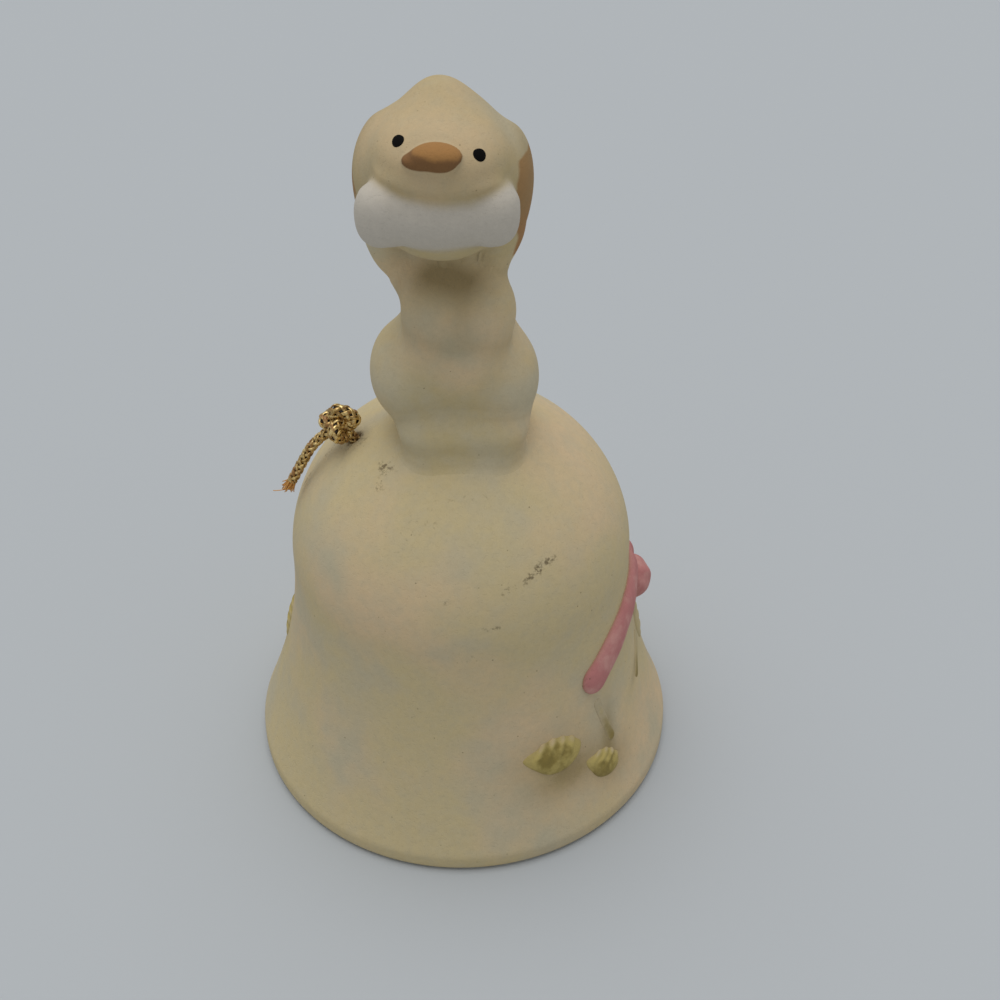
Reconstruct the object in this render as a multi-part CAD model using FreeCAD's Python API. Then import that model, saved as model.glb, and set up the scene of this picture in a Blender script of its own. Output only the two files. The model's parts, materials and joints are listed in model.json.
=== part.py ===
"""A small bisque porcelain hand bell: a hollow bell whose handle is a sitting puppy with a bone in its mouth.

The bell stands on its rim. The origin is the centre of the mouth, in the plane of the rim, and +Z is up.
The puppy looks along -Y, so its own left side is +X. All sizes are in millimetres.

The porcelain is made the way such a bell is made: a hollow shell, a hollow figure and its small parts are
cast in moulds of their own, and the ribbon, stems and leaves are pressed as thin sprigs. All of them are
stuck on with slip, so each piece ends exactly on the face of the piece that carries it. A gold cord is
knotted outside a hole in the shoulder, runs through it and carries a porcelain bead as the clapper.
"""

import FreeCAD, Part

import math
import os

from FreeCAD import Vector

# ---------------------------------------------------------------- bell shell
mouth_radius = 32.0          # outside of the lip
lip_height = 2.7             # upright band at the rim
lip_round = 1.1              # rounding of the rim's outer edge
foot_round = 0.6             # rounding of the rim's inner edge
waist_radius = 24.6          # outside, where the flare ends and the shoulder starts
waist_height = 37.0
flare_pull = 16.0            # how far below the waist the wall stays upright before it flares
crown_height = 60.0          # top of the shoulder, outside
wall = 2.6                   # thickness of the cast wall
vent_radius = 1.5            # hole in the crown that lets air out of the hollow figure in the kiln
seam_azimuth = -150.0        # where the turned surfaces begin and end, clear of every sprig

# ---------------------------------------------------------------- cord, hole and clapper
cord_diameter = 1.6
hole_clearance = 0.3         # radial, between the cord and the hole in the shoulder
hole_reach = 14.5            # from the bell's axis to the middle of the hole, on the outer surface
knot_diameter = 5.8          # knot outside the hole
knot_seat_gap = 0.1          # between a knot and the porcelain that it bears on
cord_bend_radius = 3.2       # where the cord turns from the hole to straight down
tail_steps = [(-3.6, 0.0, -2.4), (-6.1, -0.1, -7.0), (-8.4, -0.3, -11.4)]  # free end, from the knot
arc_share = 0.45             # of the shorter run, that an arc at a corner takes up
link_length = 3.5            # upper stretch of the hanging cord, between its two bending points
pivot_drop = 2.6             # from the hole's inner mouth down to the first bending point
joint_gap = 0.1              # around the ball-shaped end of each bending stretch
bead_diameter = 11.5         # the clapper
bead_height = 17.0           # of the bead's centre above the rim's plane
bead_bore_clearance = 0.08   # radial, between the cord and the bead's bore
stop_knot_diameter = 3.8
stop_knot_sink = 0.9         # of the stop knot's centre below the bead's lowest point
stop_tail_length = 2.0       # cord end below the stop knot

# ---------------------------------------------------------------- puppy, measured from the crown
body_parts = {                       # radii and centre of each ellipsoid of the body
    "torso": ((7.6, 7.2, 12.5), (0.2, 0.8, 11.5)),
    "neck": ((6.6, 6.2, 9.5), (-0.4, 0.2, 20.5)),
    "belly": ((6.6, 6.8, 8.5), (0.4, -1.2, 9.0)),
    "haunch_left": ((5.0, 7.4, 6.6), (5.9, -1.0, 6.6)),
    "haunch_right": ((5.0, 7.4, 6.6), (-6.6, -1.0, 7.8)),
}
foot_block = (16.6, 8.2, 10.2)       # hind feet: width, depth and height
foot_block_centre = (0.6, -5.7, -0.4)
foot_round_radius = 2.8
foreleg_radii = (3.9, 4.5, 5.6)
foreleg_centres = {"left": (3.7, -4.2, 20.0), "right": (-3.3, -4.2, 20.3)}
tail_points = [(0.0, 5.0, -0.4), (3.2, 9.4, -1.6), (8.2, 9.8, -2.6)]
tail_radius = 1.8
body_cavity_radii = (4.2, 3.6, 9.5)
body_cavity_centre = (0.0, 0.6, 13.0)
head_centre = (-1.0, -0.6, 37.4)
head_turn = -5.0                     # degrees about Z, towards the puppy's right
head_roll = 2.5                      # degrees about Y, lowering the puppy's left side
skull_radii = (9.2, 8.8, 9.8)
skull_centre = (-0.4, 0.0, -1.0)     # this and the next, from the head's centre
head_bumps = {                       # radii and centre of what rises from the skull
    "crown": ((5.0, 5.2, 6.0), (0.0, 0.6, 4.8)),
    "muzzle": ((6.4, 5.6, 4.5), (-0.2, -6.8, 3.4)),
    "chin": ((5.0, 4.4, 3.6), (0.0, -5.6, -5.6)),
}
head_cavity_radius = 4.6
neck_passage_radius = 1.6
ear_radii = (3.3, 5.6, 10.3)
ear_centre = (7.6, 0.9, -4.9)        # from the head's centre, for the left ear
ear_lean = 3.0                       # degrees, tips towards the neck
nose_radii = (3.6, 1.9, 1.7)
nose_centre = (-0.5, -11.4, 6.2)     # from the head's centre
bone_length = 19.4
bone_shaft_radius = 3.6
bone_knob_radius = 3.0
bone_knob_spread = 1.3               # each knob's centre, up or down from the bone's axis
bone_centre = (-0.1, -8.6, -1.9)     # from the head's centre
bone_turn = 5.0                      # degrees about Z, back from the head's own turn
bone_roll = -2.0                     # degrees about Y, back from the head's own roll

# ---------------------------------------------------------------- sprigs, placed by azimuth and height
# Azimuth is in degrees round +Z from the front (-Y) towards the puppy's left (+X).
ribbon_radius = 1.6
ribbon_lift = -0.55                  # of the ribbon's axis from the bell's surface
bow_azimuth = 98.0
bow_height = 30.0
bow_knot_radii = (1.9, 1.9, 2.3)
bow_knot_lift = 0.9
bow_loop_radii = (2.9, 3.9, 3.5)
bow_loop_offset = 4.4                # along the bell's surface, from the knot to a loop's centre
bow_loop_drop = 2.2                  # of a loop's centre below the knot
bow_loop_slant = 40.0                # degrees, dropping each loop's outer end
ribbon_tail_front = [(-6.0, 2.4), (-25.0, 1.4), (-41.0, -1.5), (-55.4, -6.4)]
ribbon_tail_back = [(6.0, 2.4), (21.0, 0.8), (33.0, -3.2), (44.0, -9.4)]
leaf_radii = (1.0, 2.3, 3.5)         # out of the surface, across and along the leaf
leaf_places = {                      # azimuth, height, slant of its length from upright, size
    "front_outer": (27.5, 16.2, 68.0, 1.2),
    "front_inner": (44.5, 10.6, 50.0, 0.8),
    "side": (92.0, 19.6, -4.0, 1.2),
    "back_inner": (118.0, 11.0, -40.0, 0.9),
    "back_outer": (141.5, 14.8, -60.0, 1.2),
    "far_upper": (-97.0, 19.5, 16.0, 1.0),
    "far_lower": (-112.0, 13.0, 52.0, 1.1),
}
leaf_lift = -0.1
stem_radius = 0.55
stem_lift = 0.0
stem_routes = {                      # azimuth and height along each stem
    "front": [(46.0, 21.0), (48.0, 16.8), (50.0, 12.6)],
    "middle": [(78.5, 21.5), (79.0, 17.5), (79.0, 13.6)],
    "back": [(112.0, 22.0), (115.0, 18.5), (117.0, 15.0)],
}


# ---------------------------------------------------------------- how the construction works
cut_margin = 2.6             # how far a cutting cylinder reaches past the wall on each side
search_step = 0.01           # along the hole, when its inner mouth is looked for
slope_step = 0.01            # height on each side of a point, when the bell's slope is measured
edge_tolerance = 0.1         # above the foot block's bottom, that tells its lowest edges from the rest
mesh_tolerance = 0.05        # of the mesh that a piece's volume is compared with
chip_volume = 1e-6           # cubic mm: a smaller solid is a chip left by a cut


# ================================================================ shared shapes
def at_crown(x, y, z):
    """A point of the puppy, from its place above the crown."""
    return Vector(x, y, z + crown_height)


def ellipsoid(radii, centre, turn=None, poles=Vector(0, 0, 1)):
    """An ellipsoid as one solid: a sphere stretched along X, Y and Z, turned, then moved to its centre."""
    ball = Part.makeSphere(1.0, Vector(), poles)
    stretch = FreeCAD.Matrix()
    stretch.scale(Vector(*radii))
    shape = ball.transformGeometry(stretch)
    shape.Placement = FreeCAD.Placement(centre, turn or FreeCAD.Rotation())
    return shape


def disc(centre, axis, radius):
    """A round wire, as the section of a rod."""
    return Part.Wire([Part.makeCircle(radius, centre, axis)])


def rod(points, radius):
    """A round rod along a smooth line through the points."""
    line = Part.BSplineCurve()
    line.interpolate(points)
    start = line.tangent(line.FirstParameter)[0]
    spine = Part.Wire([line.toShape()])
    return spine.makePipeShell([disc(points[0], start, radius)], True, True)


def biggest_solid(shape):
    """The piece itself, without the chips that a cut may leave."""
    return max(shape.Solids, key=lambda solid: solid.Volume)


def mesh_volume(shape):
    """The volume inside a fine mesh of the piece: it differs from the exact one if a face is amiss."""
    points, triangles = shape.tessellate(mesh_tolerance)
    return sum(points[a].dot(points[b].cross(points[c])) for a, b, c in triangles) / 6.0


def exported(name, shape):
    """Writes one piece, and says how large it is and whether it is sound."""
    solids = [solid for solid in shape.Solids if solid.Volume > chip_volume]
    whole = solids[0] if len(solids) == 1 else Part.makeCompound(solids)
    whole.exportStep(os.path.join("parts", name + ".step"))
    box = whole.BoundBox
    ratio = mesh_volume(whole) / whole.Volume
    print(f"{name:24s} solids {len(solids)}  volume {whole.Volume:9.2f}  mesh/exact {ratio:.4f}"
          f"  valid {whole.isValid()}  z {box.ZMin:7.2f} to {box.ZMax:7.2f}")


# ================================================================ bell shell
def shoulder_height(radius, inset=0.0):
    """Height of the shoulder's ellipse at a radius, set in by a wall or nothing."""
    across = waist_radius - inset
    rise = crown_height - waist_height - inset
    return waist_height + rise * math.sqrt(max(0.0, 1.0 - (radius / across) ** 2))


def outer_radius(height):
    """Outside radius of the bell at a height: the lip's band, the flare's curve or the shoulder's ellipse."""
    if height >= waist_height:
        share = (height - waist_height) / (crown_height - waist_height)
        return waist_radius * math.sqrt(max(0.0, 1.0 - share * share))
    if height <= lip_height:
        return mouth_radius
    # The flare is a curve of three poles, so its height is a quadratic in the curve's parameter t.
    drop = waist_height - lip_height
    a = drop - 2.0 * flare_pull
    b = 2.0 * flare_pull
    c = height - waist_height
    t = -c / b if abs(a) < 1e-9 else (-b + math.sqrt(b * b - 4.0 * a * c)) / (2.0 * a)
    return waist_radius + (mouth_radius - waist_radius) * t * t


def surface_slope(height):
    """How fast the outside radius grows with height."""
    rise = outer_radius(height + slope_step) - outer_radius(height - slope_step)
    return rise / (2.0 * slope_step)


def surface_point(azimuth, height, lift=0.0):
    """A point on the outside of the bell, lifted off along the surface's normal."""
    turn = math.radians(azimuth)
    slope = surface_slope(height)
    out = lift / math.hypot(1.0, slope)
    reach = outer_radius(height) + out
    return Vector(reach * math.sin(turn), -reach * math.cos(turn), height - slope * out)


def surface_frame(azimuth, height, slant=0.0):
    """Turn that carries X to the surface's normal, Y across and Z up the surface, slanted from upright."""
    lean = math.degrees(math.atan(surface_slope(height)))
    around = FreeCAD.Rotation(Vector(0, 0, 1), azimuth - 90.0)
    tip = FreeCAD.Rotation(Vector(0, 1, 0), lean)
    spin = FreeCAD.Rotation(Vector(1, 0, 0), slant)
    return around.multiply(tip).multiply(spin)


def flare_edge(inset):
    """The flare from the waist down to the lip, as a curve of three poles."""
    curve = Part.BezierCurve()
    curve.setPoles([
        Vector(waist_radius - inset, 0, waist_height),
        Vector(waist_radius - inset, 0, waist_height - flare_pull),
        Vector(mouth_radius - inset, 0, lip_height),
    ])
    return curve.toShape()


def shoulder_edge(inset):
    """A quarter of an ellipse from the waist up to the crown, as a curve of three weighted poles."""
    across = waist_radius - inset
    top = crown_height - inset
    curve = Part.BezierCurve()
    curve.setPoles([Vector(across, 0, waist_height), Vector(across, 0, top), Vector(0, 0, top)])
    curve.setWeight(2, math.sqrt(0.5))
    return curve.toShape()


def quarter_round(corner, towards_start, towards_end, radius):
    """An arc that rounds a square corner, between the points a radius away along each side."""
    start = corner + towards_start * radius
    end = corner + towards_end * radius
    centre = start + towards_end * radius
    middle = centre + (corner - centre) * (1.0 / math.sqrt(2.0))
    return Part.Arc(start, middle, end).toShape()


def turned(edges):
    """Turns a closed outline of edges in the XZ plane into a solid round Z."""
    face = Part.Face(Part.Wire(Part.__sortEdges__(edges)))
    face.rotate(Vector(), Vector(0, 0, 1), seam_azimuth - 90.0)
    return face.revolve(Vector(), Vector(0, 0, 1), 360.0).Solids[0]


def outer_body():
    """The bell as if it were solid porcelain: what sits on it is cut back by this."""
    up, inwards = Vector(0, 0, 1), Vector(-1, 0, 0)
    rim = Vector(mouth_radius, 0, 0)
    edges = [
        shoulder_edge(0.0),
        flare_edge(0.0),
        Part.LineSegment(Vector(mouth_radius, 0, lip_height), rim + up * lip_round).toShape(),
        quarter_round(rim, up, inwards, lip_round),
        Part.LineSegment(rim + inwards * lip_round, Vector(0, 0, 0)).toShape(),
        Part.LineSegment(Vector(0, 0, 0), Vector(0, 0, crown_height)).toShape(),
    ]
    return turned(edges)


def inner_body():
    """The hollow of the bell, open at the mouth, with the rim's inner edge rounded."""
    inner = mouth_radius - wall
    below = -1.0
    edges = [
        shoulder_edge(wall),
        flare_edge(wall),
        Part.LineSegment(Vector(inner, 0, lip_height), Vector(inner, 0, foot_round)).toShape(),
        Part.Arc(Vector(inner, 0, foot_round),
                 Vector(inner + foot_round * (1 - math.sqrt(0.5)), 0, foot_round * (1 - math.sqrt(0.5))),
                 Vector(inner + foot_round, 0, 0)).toShape(),
        Part.LineSegment(Vector(inner + foot_round, 0, 0), Vector(inner + foot_round, 0, below)).toShape(),
        Part.LineSegment(Vector(inner + foot_round, 0, below), Vector(0, 0, below)).toShape(),
        Part.LineSegment(Vector(0, 0, below), Vector(0, 0, crown_height - wall)).toShape(),
    ]
    return turned(edges)


def hole_frame():
    """The hole in the shoulder, on the puppy's right: its outer mouth, its direction out and its inner mouth."""
    across, rise = waist_radius, crown_height - waist_height
    height = shoulder_height(hole_reach)
    out = Vector(-hole_reach / across ** 2, 0, (height - waist_height) / rise ** 2).normalize()
    outer = Vector(-hole_reach, 0, height)
    reach = 0.0
    while True:
        inner = outer - out * reach
        if inner.z < shoulder_height(abs(inner.x), wall):
            return outer, out, inner
        reach += search_step


def bell_shell():
    """The hollow bell, with the cord's hole in the shoulder and the vent under the figure."""
    outer, out, _ = hole_frame()
    reach = wall + 2.0 * cut_margin
    hole = Part.makeCylinder(cord_diameter / 2 + hole_clearance, reach, outer + out * cut_margin, -out)
    vent = Part.makeCylinder(vent_radius, reach, Vector(0, 0, crown_height - wall - cut_margin))
    return outer_body().cut(inner_body()).cut(hole).cut(vent)


# ================================================================ puppy
def body_outside():
    """The body as if it were solid: a pear of ellipsoids, from the haunches to the neck."""
    shapes = [ellipsoid(radii, at_crown(*centre)) for radii, centre in body_parts.values()]
    return shapes[0].multiFuse(shapes[1:])


def body_cavity():
    """The hollow left by the slip, with the neck's passage up into the head."""
    hollow = ellipsoid(body_cavity_radii, at_crown(*body_cavity_centre))
    rise = head_centre[2] - body_cavity_centre[2]
    passage = Part.makeCylinder(neck_passage_radius, rise, at_crown(*body_cavity_centre))
    return hollow, passage


def head_turned(shape):
    """Moves a piece that is drawn round the head's centre, facing -Y, to the head's own place and tilt."""
    turn = FreeCAD.Rotation(Vector(0, 0, 1), head_turn).multiply(FreeCAD.Rotation(Vector(0, 1, 0), head_roll))
    placed = shape.copy()
    placed.Placement = FreeCAD.Placement(at_crown(*head_centre), turn).multiply(shape.Placement)
    return placed


def head_outside():
    """The head as if it were solid: the skull with its crown, muzzle and chin."""
    shape = ellipsoid(skull_radii, Vector(*skull_centre))
    for radii, centre in head_bumps.values():
        shape = shape.fuse(ellipsoid(radii, Vector(*centre)))
    return head_turned(shape)


def ear(side):
    """A hanging ear: a flat ellipsoid that leans in at its tip."""
    reach, back, drop = ear_centre
    turn = FreeCAD.Rotation(Vector(0, 1, 0), side * ear_lean)
    return head_turned(ellipsoid(ear_radii, Vector(side * reach, back, drop), turn, Vector(side, 0, 0)))


def bone():
    """The bone: a thick shaft with two round knobs at each end."""
    half = bone_length / 2 - bone_knob_radius
    shape = Part.makeCylinder(bone_shaft_radius, 2 * half, Vector(-half, 0, 0), Vector(1, 0, 0))
    for side in (-1, 1):
        for rise in (-bone_knob_spread, bone_knob_spread):
            shape = shape.fuse(Part.makeSphere(bone_knob_radius, Vector(side * half, 0, rise)))
    turn = FreeCAD.Rotation(Vector(0, 0, 1), bone_turn).multiply(FreeCAD.Rotation(Vector(0, 1, 0), bone_roll))
    shape.Placement = FreeCAD.Placement(Vector(*bone_centre), turn)
    return head_turned(shape)


def hind_feet():
    """The block of the two hind feet, with its upright edges and its top rounded."""
    width, depth, height = foot_block
    x, y, z = foot_block_centre
    block = Part.makeBox(width, depth, height, at_crown(x - width / 2, y - depth / 2, z - height / 2))
    bottom = z - height / 2 + crown_height
    edges = [edge for edge in block.Edges if max(vertex.Z for vertex in edge.Vertexes) > bottom + edge_tolerance]
    return block.makeFillet(foot_round_radius, edges)


def tail():
    """The puppy's short tail, lying on the crown behind it and curled to one side, with a round tip."""
    root, bend, tip = (at_crown(*point) for point in tail_points)
    ends = [Part.makeSphere(tail_radius, point) for point in (root, tip)]
    return rod([root, bend, tip], tail_radius).multiFuse(ends)


def puppy():
    """All pieces of the puppy. Each is cut by what carries it, so that it ends on that piece's face."""
    bell = outer_body()
    body_solid = biggest_solid(body_outside().cut(bell))
    head_solid = head_outside()
    hollow, passage = body_cavity()
    vent = Part.makeCylinder(vent_radius, body_cavity_centre[2], Vector(0, 0, crown_height - wall))
    head_hollow = Part.makeSphere(head_cavity_radius, at_crown(*head_centre))

    pieces = {}
    feet = hind_feet().cut(bell).cut(body_solid)
    pieces["hind_feet"] = biggest_solid(feet)
    pieces["puppy_tail"] = biggest_solid(tail().cut(bell).cut(body_solid))
    forwards = Vector(0, -1, 0)
    for name, centre in foreleg_centres.items():
        leg = ellipsoid(foreleg_radii, at_crown(*centre), poles=forwards).cut(body_solid).cut(head_solid)
        for other in foreleg_centres:
            leg = leg.cut(pieces["foreleg_" + other]) if "foreleg_" + other in pieces else leg
        pieces["foreleg_" + name] = biggest_solid(leg)
    pieces["puppy_head"] = biggest_solid(head_solid.cut(body_solid).cut(head_hollow).cut(passage))
    pieces["puppy_body"] = biggest_solid(body_solid.cut(hollow).cut(passage).cut(vent))
    ears = {"left": 1, "right": -1}
    for name, side in ears.items():
        hanging = ear(side).cut(head_solid).cut(body_solid).cut(pieces["foreleg_" + name])
        pieces["ear_" + name] = biggest_solid(hanging)
    nose_shape = head_turned(ellipsoid(nose_radii, Vector(*nose_centre), poles=forwards))
    pieces["nose"] = biggest_solid(nose_shape.cut(head_solid))
    bone_shape = bone().cut(head_solid)
    for name in ears:
        bone_shape = bone_shape.cut(pieces["ear_" + name])
    pieces["bone"] = biggest_solid(bone_shape)
    return pieces


# ================================================================ ribbon, leaves and stems
def ribbon_tail(route):
    """A ribbon's tail: a rod along the bell, half sunk into it, with a round end."""
    places = [(bow_azimuth + along, bow_height + rise) for along, rise in route]
    points = [surface_point(turn, height, ribbon_lift) for turn, height in places]
    return rod(points, ribbon_radius).fuse(sprig_egg([ribbon_radius] * 3, *places[-1], ribbon_lift))


def sprig_egg(radii, azimuth, height, lift=0.0, slant=0.0):
    """An egg on the bell's surface, with its poles on the normal, so that its root's cut is clear of them."""
    turn = surface_frame(azimuth, height, slant)
    return ellipsoid(radii, surface_point(azimuth, height, lift), turn, Vector(1, 0, 0))


def bow_loop(side):
    """One loop of the bow: an egg beside the knot, with its outer end hanging."""
    turn = side * math.degrees(bow_loop_offset / outer_radius(bow_height))
    height = bow_height - bow_loop_drop
    return sprig_egg(bow_loop_radii, bow_azimuth + turn, height, slant=-side * bow_loop_slant)


def leaf(azimuth, height, slant, size):
    """A leaf: a low ellipsoid on the surface, cut at its root by the bell."""
    return sprig_egg([radius * size for radius in leaf_radii], azimuth, height, leaf_lift, slant)


def seated(shape, bell, taken):
    """A sprig's piece without what the bell and the pieces already in place take from it."""
    for other in [bell] + taken:
        shape = shape.cut(other)
    return biggest_solid(shape)


def decoration():
    """The sprigs: the ribbon's bow, its two tails, the stems and the leaves, all ending on the bell's face."""
    shapes = {"ribbon_bow_knot": sprig_egg(bow_knot_radii, bow_azimuth, bow_height, bow_knot_lift)}
    for name, side in (("front", -1), ("back", 1)):
        shapes["ribbon_bow_loop_" + name] = bow_loop(side)
    for name, route in (("front", ribbon_tail_front), ("back", ribbon_tail_back)):
        shapes["ribbon_tail_" + name] = ribbon_tail(route)
    for name, place in leaf_places.items():
        shapes["leaf_" + name] = leaf(*place)
    for name, route in stem_routes.items():
        shapes["stem_" + name] = rod([surface_point(turn, height, stem_lift) for turn, height in route], stem_radius)
    bell = outer_body()
    pieces = {}
    for name, shape in shapes.items():
        pieces[name] = seated(shape, bell, list(pieces.values()))
    return pieces


# ================================================================ cord and clapper
def cord_tube(points, label):
    """A cord's solid: straight runs joined by arcs that are as large as the runs allow."""
    edges = []
    last = points[0]
    radii = []
    for before, corner, after in zip(points, points[1:], points[2:]):
        inwards, outwards = (corner - before), (after - corner)
        half_turn = inwards.getAngle(outwards) / 2.0
        reach = arc_share * min(inwards.Length, outwards.Length)
        start = corner - inwards.normalize() * reach
        end = corner + outwards.normalize() * reach
        radius = reach / math.tan(half_turn)
        radii.append(round(radius, 1))
        towards_centre = (outwards - inwards).normalize()
        depth = radius / math.cos(half_turn) - radius
        edges.append(Part.LineSegment(last, start).toShape())
        edges.append(Part.Arc(start, corner + towards_centre * depth, end).toShape())
        last = end
    edges.append(Part.LineSegment(last, points[-1]).toShape())
    spine = Part.Wire(edges)
    section = disc(points[0], points[1] - points[0], cord_diameter / 2)
    tube = Part.Solid(spine.makePipeShell([section], True, False))
    expected = math.pi * cord_diameter ** 2 / 4 * spine.Length
    print(f"{label}: length {spine.Length:.2f}, arc radii {radii}, volume {tube.Volume:.3f} of {expected:.3f}")
    return tube


def ball_socket(at):
    """The small round hollow that a bending cord's round end turns in."""
    return Part.makeSphere(cord_diameter / 2 + joint_gap, at)


def hanging_cord(top, bottom):
    """A straight stretch of hanging cord, with a round end at its top."""
    drop = Part.makeCylinder(cord_diameter / 2, (top - bottom).Length, bottom, Vector(0, 0, 1))
    return drop.fuse(Part.makeSphere(cord_diameter / 2, top))


def cord_places():
    """The cord's places, worked out from the hole: knots, bends, pivots and the bead."""
    outer, out, inner = hole_frame()
    knot = outer + out * (knot_diameter / 2 + knot_seat_gap)
    # Below the hole the cord turns to hang straight down: its corner lies one tangent below the mouth.
    tangent = cord_bend_radius * math.tan(out.getAngle(Vector(0, 0, 1)) / 2)
    corner = inner - out * tangent
    upper_pivot = Vector(corner.x, 0, inner.z - pivot_drop)
    lower_pivot = upper_pivot - Vector(0, 0, link_length)
    bead = Vector(corner.x, 0, bead_height)
    stop_knot = bead - Vector(0, 0, bead_diameter / 2 + stop_knot_sink)
    return knot, corner, upper_pivot, lower_pivot, bead, stop_knot


def cord_and_clapper():
    """The gold cord from its free end, through the shoulder and down to the bead that it carries."""
    knot_at, corner, upper_pivot, lower_pivot, bead_at, stop_at = cord_places()
    print("upper pivot", tuple(round(value, 3) for value in upper_pivot),
          "lower pivot", tuple(round(value, 3) for value in lower_pivot),
          "bead", tuple(round(value, 3) for value in bead_at))
    knot = Part.makeSphere(knot_diameter / 2, knot_at)
    route = [knot_at] + [knot_at + Vector(*step) for step in tail_steps]
    free_end = cord_tube(route, "cord_tail").cut(knot)
    through = cord_tube([knot_at, corner, upper_pivot], "cord_in_hole").cut(knot).cut(ball_socket(upper_pivot))
    link = hanging_cord(upper_pivot, lower_pivot).cut(ball_socket(lower_pivot))

    stop = Part.makeSphere(stop_knot_diameter / 2, stop_at)
    bore = Part.makeCylinder(cord_diameter / 2 + bead_bore_clearance, 2 * bead_diameter,
                             bead_at - Vector(0, 0, bead_diameter), Vector(0, 0, 1))
    seat = Part.makeSphere(stop_knot_diameter / 2 + joint_gap, stop_at)
    bead = Part.makeSphere(bead_diameter / 2, bead_at).cut(bore).cut(seat)
    end = stop_at - Vector(0, 0, stop_knot_diameter / 2 + stop_tail_length)
    clapper_cord = hanging_cord(lower_pivot, end).cut(stop)
    pieces = sorted(clapper_cord.Solids, key=lambda solid: -solid.Volume)
    return {
        "knot_outside": knot,
        "cord_tail": biggest_solid(free_end),
        "cord_in_hole": biggest_solid(through),
        "cord_link": biggest_solid(link),
        "clapper_cord": pieces[0],
        "cord_end_below_bead": pieces[1],
        "stop_knot": stop,
        "clapper_bead": biggest_solid(bead),
    }


if __name__ == "__main__":
    os.makedirs("parts", exist_ok=True)
    exported("bell_shell", bell_shell())
    for group in (puppy(), decoration(), cord_and_clapper()):
        for piece_name, piece in group.items():
            exported(piece_name, piece)
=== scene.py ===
# %% [markdown]
# # A bisque bell with a sitting puppy
# The real object is unglazed porcelain: a cast bell, a cast figure on its crown, thin sprigs of ribbon and
# leaves, and a gold cord that carries a bead inside as the clapper. The construction comes packed, as a
# frame of plain solids. This lesson gives each solid its finished surface, in the same place.
# The frame could be copied by hand, but reading it keeps the looks and the motion together.

import json
import math

import bpy
import numpy as np
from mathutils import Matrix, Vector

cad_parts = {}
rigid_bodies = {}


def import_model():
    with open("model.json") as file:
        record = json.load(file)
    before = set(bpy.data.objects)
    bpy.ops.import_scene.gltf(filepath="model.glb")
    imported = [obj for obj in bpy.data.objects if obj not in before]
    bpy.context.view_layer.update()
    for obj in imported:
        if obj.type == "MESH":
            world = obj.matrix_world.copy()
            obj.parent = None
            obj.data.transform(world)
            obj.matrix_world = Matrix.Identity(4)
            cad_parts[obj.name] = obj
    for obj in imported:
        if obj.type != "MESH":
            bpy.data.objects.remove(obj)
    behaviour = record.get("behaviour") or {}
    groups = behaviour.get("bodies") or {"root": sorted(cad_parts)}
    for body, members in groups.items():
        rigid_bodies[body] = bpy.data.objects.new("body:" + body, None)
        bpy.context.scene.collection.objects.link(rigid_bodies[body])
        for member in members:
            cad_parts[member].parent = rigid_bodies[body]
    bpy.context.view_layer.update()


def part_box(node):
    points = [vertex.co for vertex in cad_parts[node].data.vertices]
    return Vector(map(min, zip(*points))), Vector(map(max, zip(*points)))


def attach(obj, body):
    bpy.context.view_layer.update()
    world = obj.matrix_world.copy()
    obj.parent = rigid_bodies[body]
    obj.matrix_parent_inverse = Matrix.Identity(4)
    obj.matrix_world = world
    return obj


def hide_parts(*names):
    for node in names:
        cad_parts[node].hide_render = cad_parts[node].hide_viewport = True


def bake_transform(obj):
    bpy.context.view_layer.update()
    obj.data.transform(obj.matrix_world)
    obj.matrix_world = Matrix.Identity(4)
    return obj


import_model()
MM = 0.001


def box_mm(node):
    """Lowest and highest corner of a node, in millimetres."""
    low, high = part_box(node)
    return np.array(low) / MM, np.array(high) / MM


# %% [markdown]
# ## Camera, floor and light
# The bell is small, so it is looked at from close by, from above its front. A floor plane and one very broad
# overhead light give the even, nearly shadowless light of a light tent. An area lamp would fall off across
# the floor, so a sun with a wide disc is used: its light is as strong everywhere, and its shadows are soft.

# %% Camera, floor and light
camera_place = np.array([0.0, -165.87, 182.14])      # millimetres, from the middle of the mouth
camera_azimuth = -1.98                               # degrees, round from the front
camera_elevation = 39.82                             # degrees, of the camera above what it looks at
camera_lens = 54.0                                   # millimetres, on the default 36 mm sensor
floor_half = 3.0                                     # metres
floor_grey = (0.462, 0.482, 0.490)
sun_strength = 1.45
sun_disc = 55.0                                      # degrees
sun_turn = (math.radians(-8.0), math.radians(-4.0), 0.0)
sky_colour = (0.80, 0.83, 0.88)
sky_strength = 0.61


def add_camera():
    """A camera that looks along the given azimuth and elevation, upright."""
    data = bpy.data.cameras.new("camera")
    data.lens = camera_lens
    data.clip_start = 0.01
    camera = bpy.data.objects.new("camera", data)
    camera.location = camera_place * MM
    camera.rotation_euler = (math.radians(90.0 - camera_elevation), 0.0, math.radians(camera_azimuth))
    bpy.context.scene.collection.objects.link(camera)
    bpy.context.scene.camera = camera


def add_sun():
    """A broad sun from above, a little behind and to the left, over an even sky."""
    data = bpy.data.lights.new("overhead", "SUN")
    data.energy = sun_strength
    data.angle = math.radians(sun_disc)
    sun = bpy.data.objects.new("overhead", data)
    sun.rotation_euler = sun_turn
    bpy.context.scene.collection.objects.link(sun)
    world = bpy.data.worlds.new("sky")
    world.use_nodes = True
    background = world.node_tree.nodes["Background"]
    background.inputs["Color"].default_value = (*sky_colour, 1.0)
    background.inputs["Strength"].default_value = sky_strength
    bpy.context.scene.world = world


add_camera()
add_sun()
bpy.context.scene.view_settings.view_transform = "Standard"
print("camera", camera_lens, "mm lens, sun", sun_strength)

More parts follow.
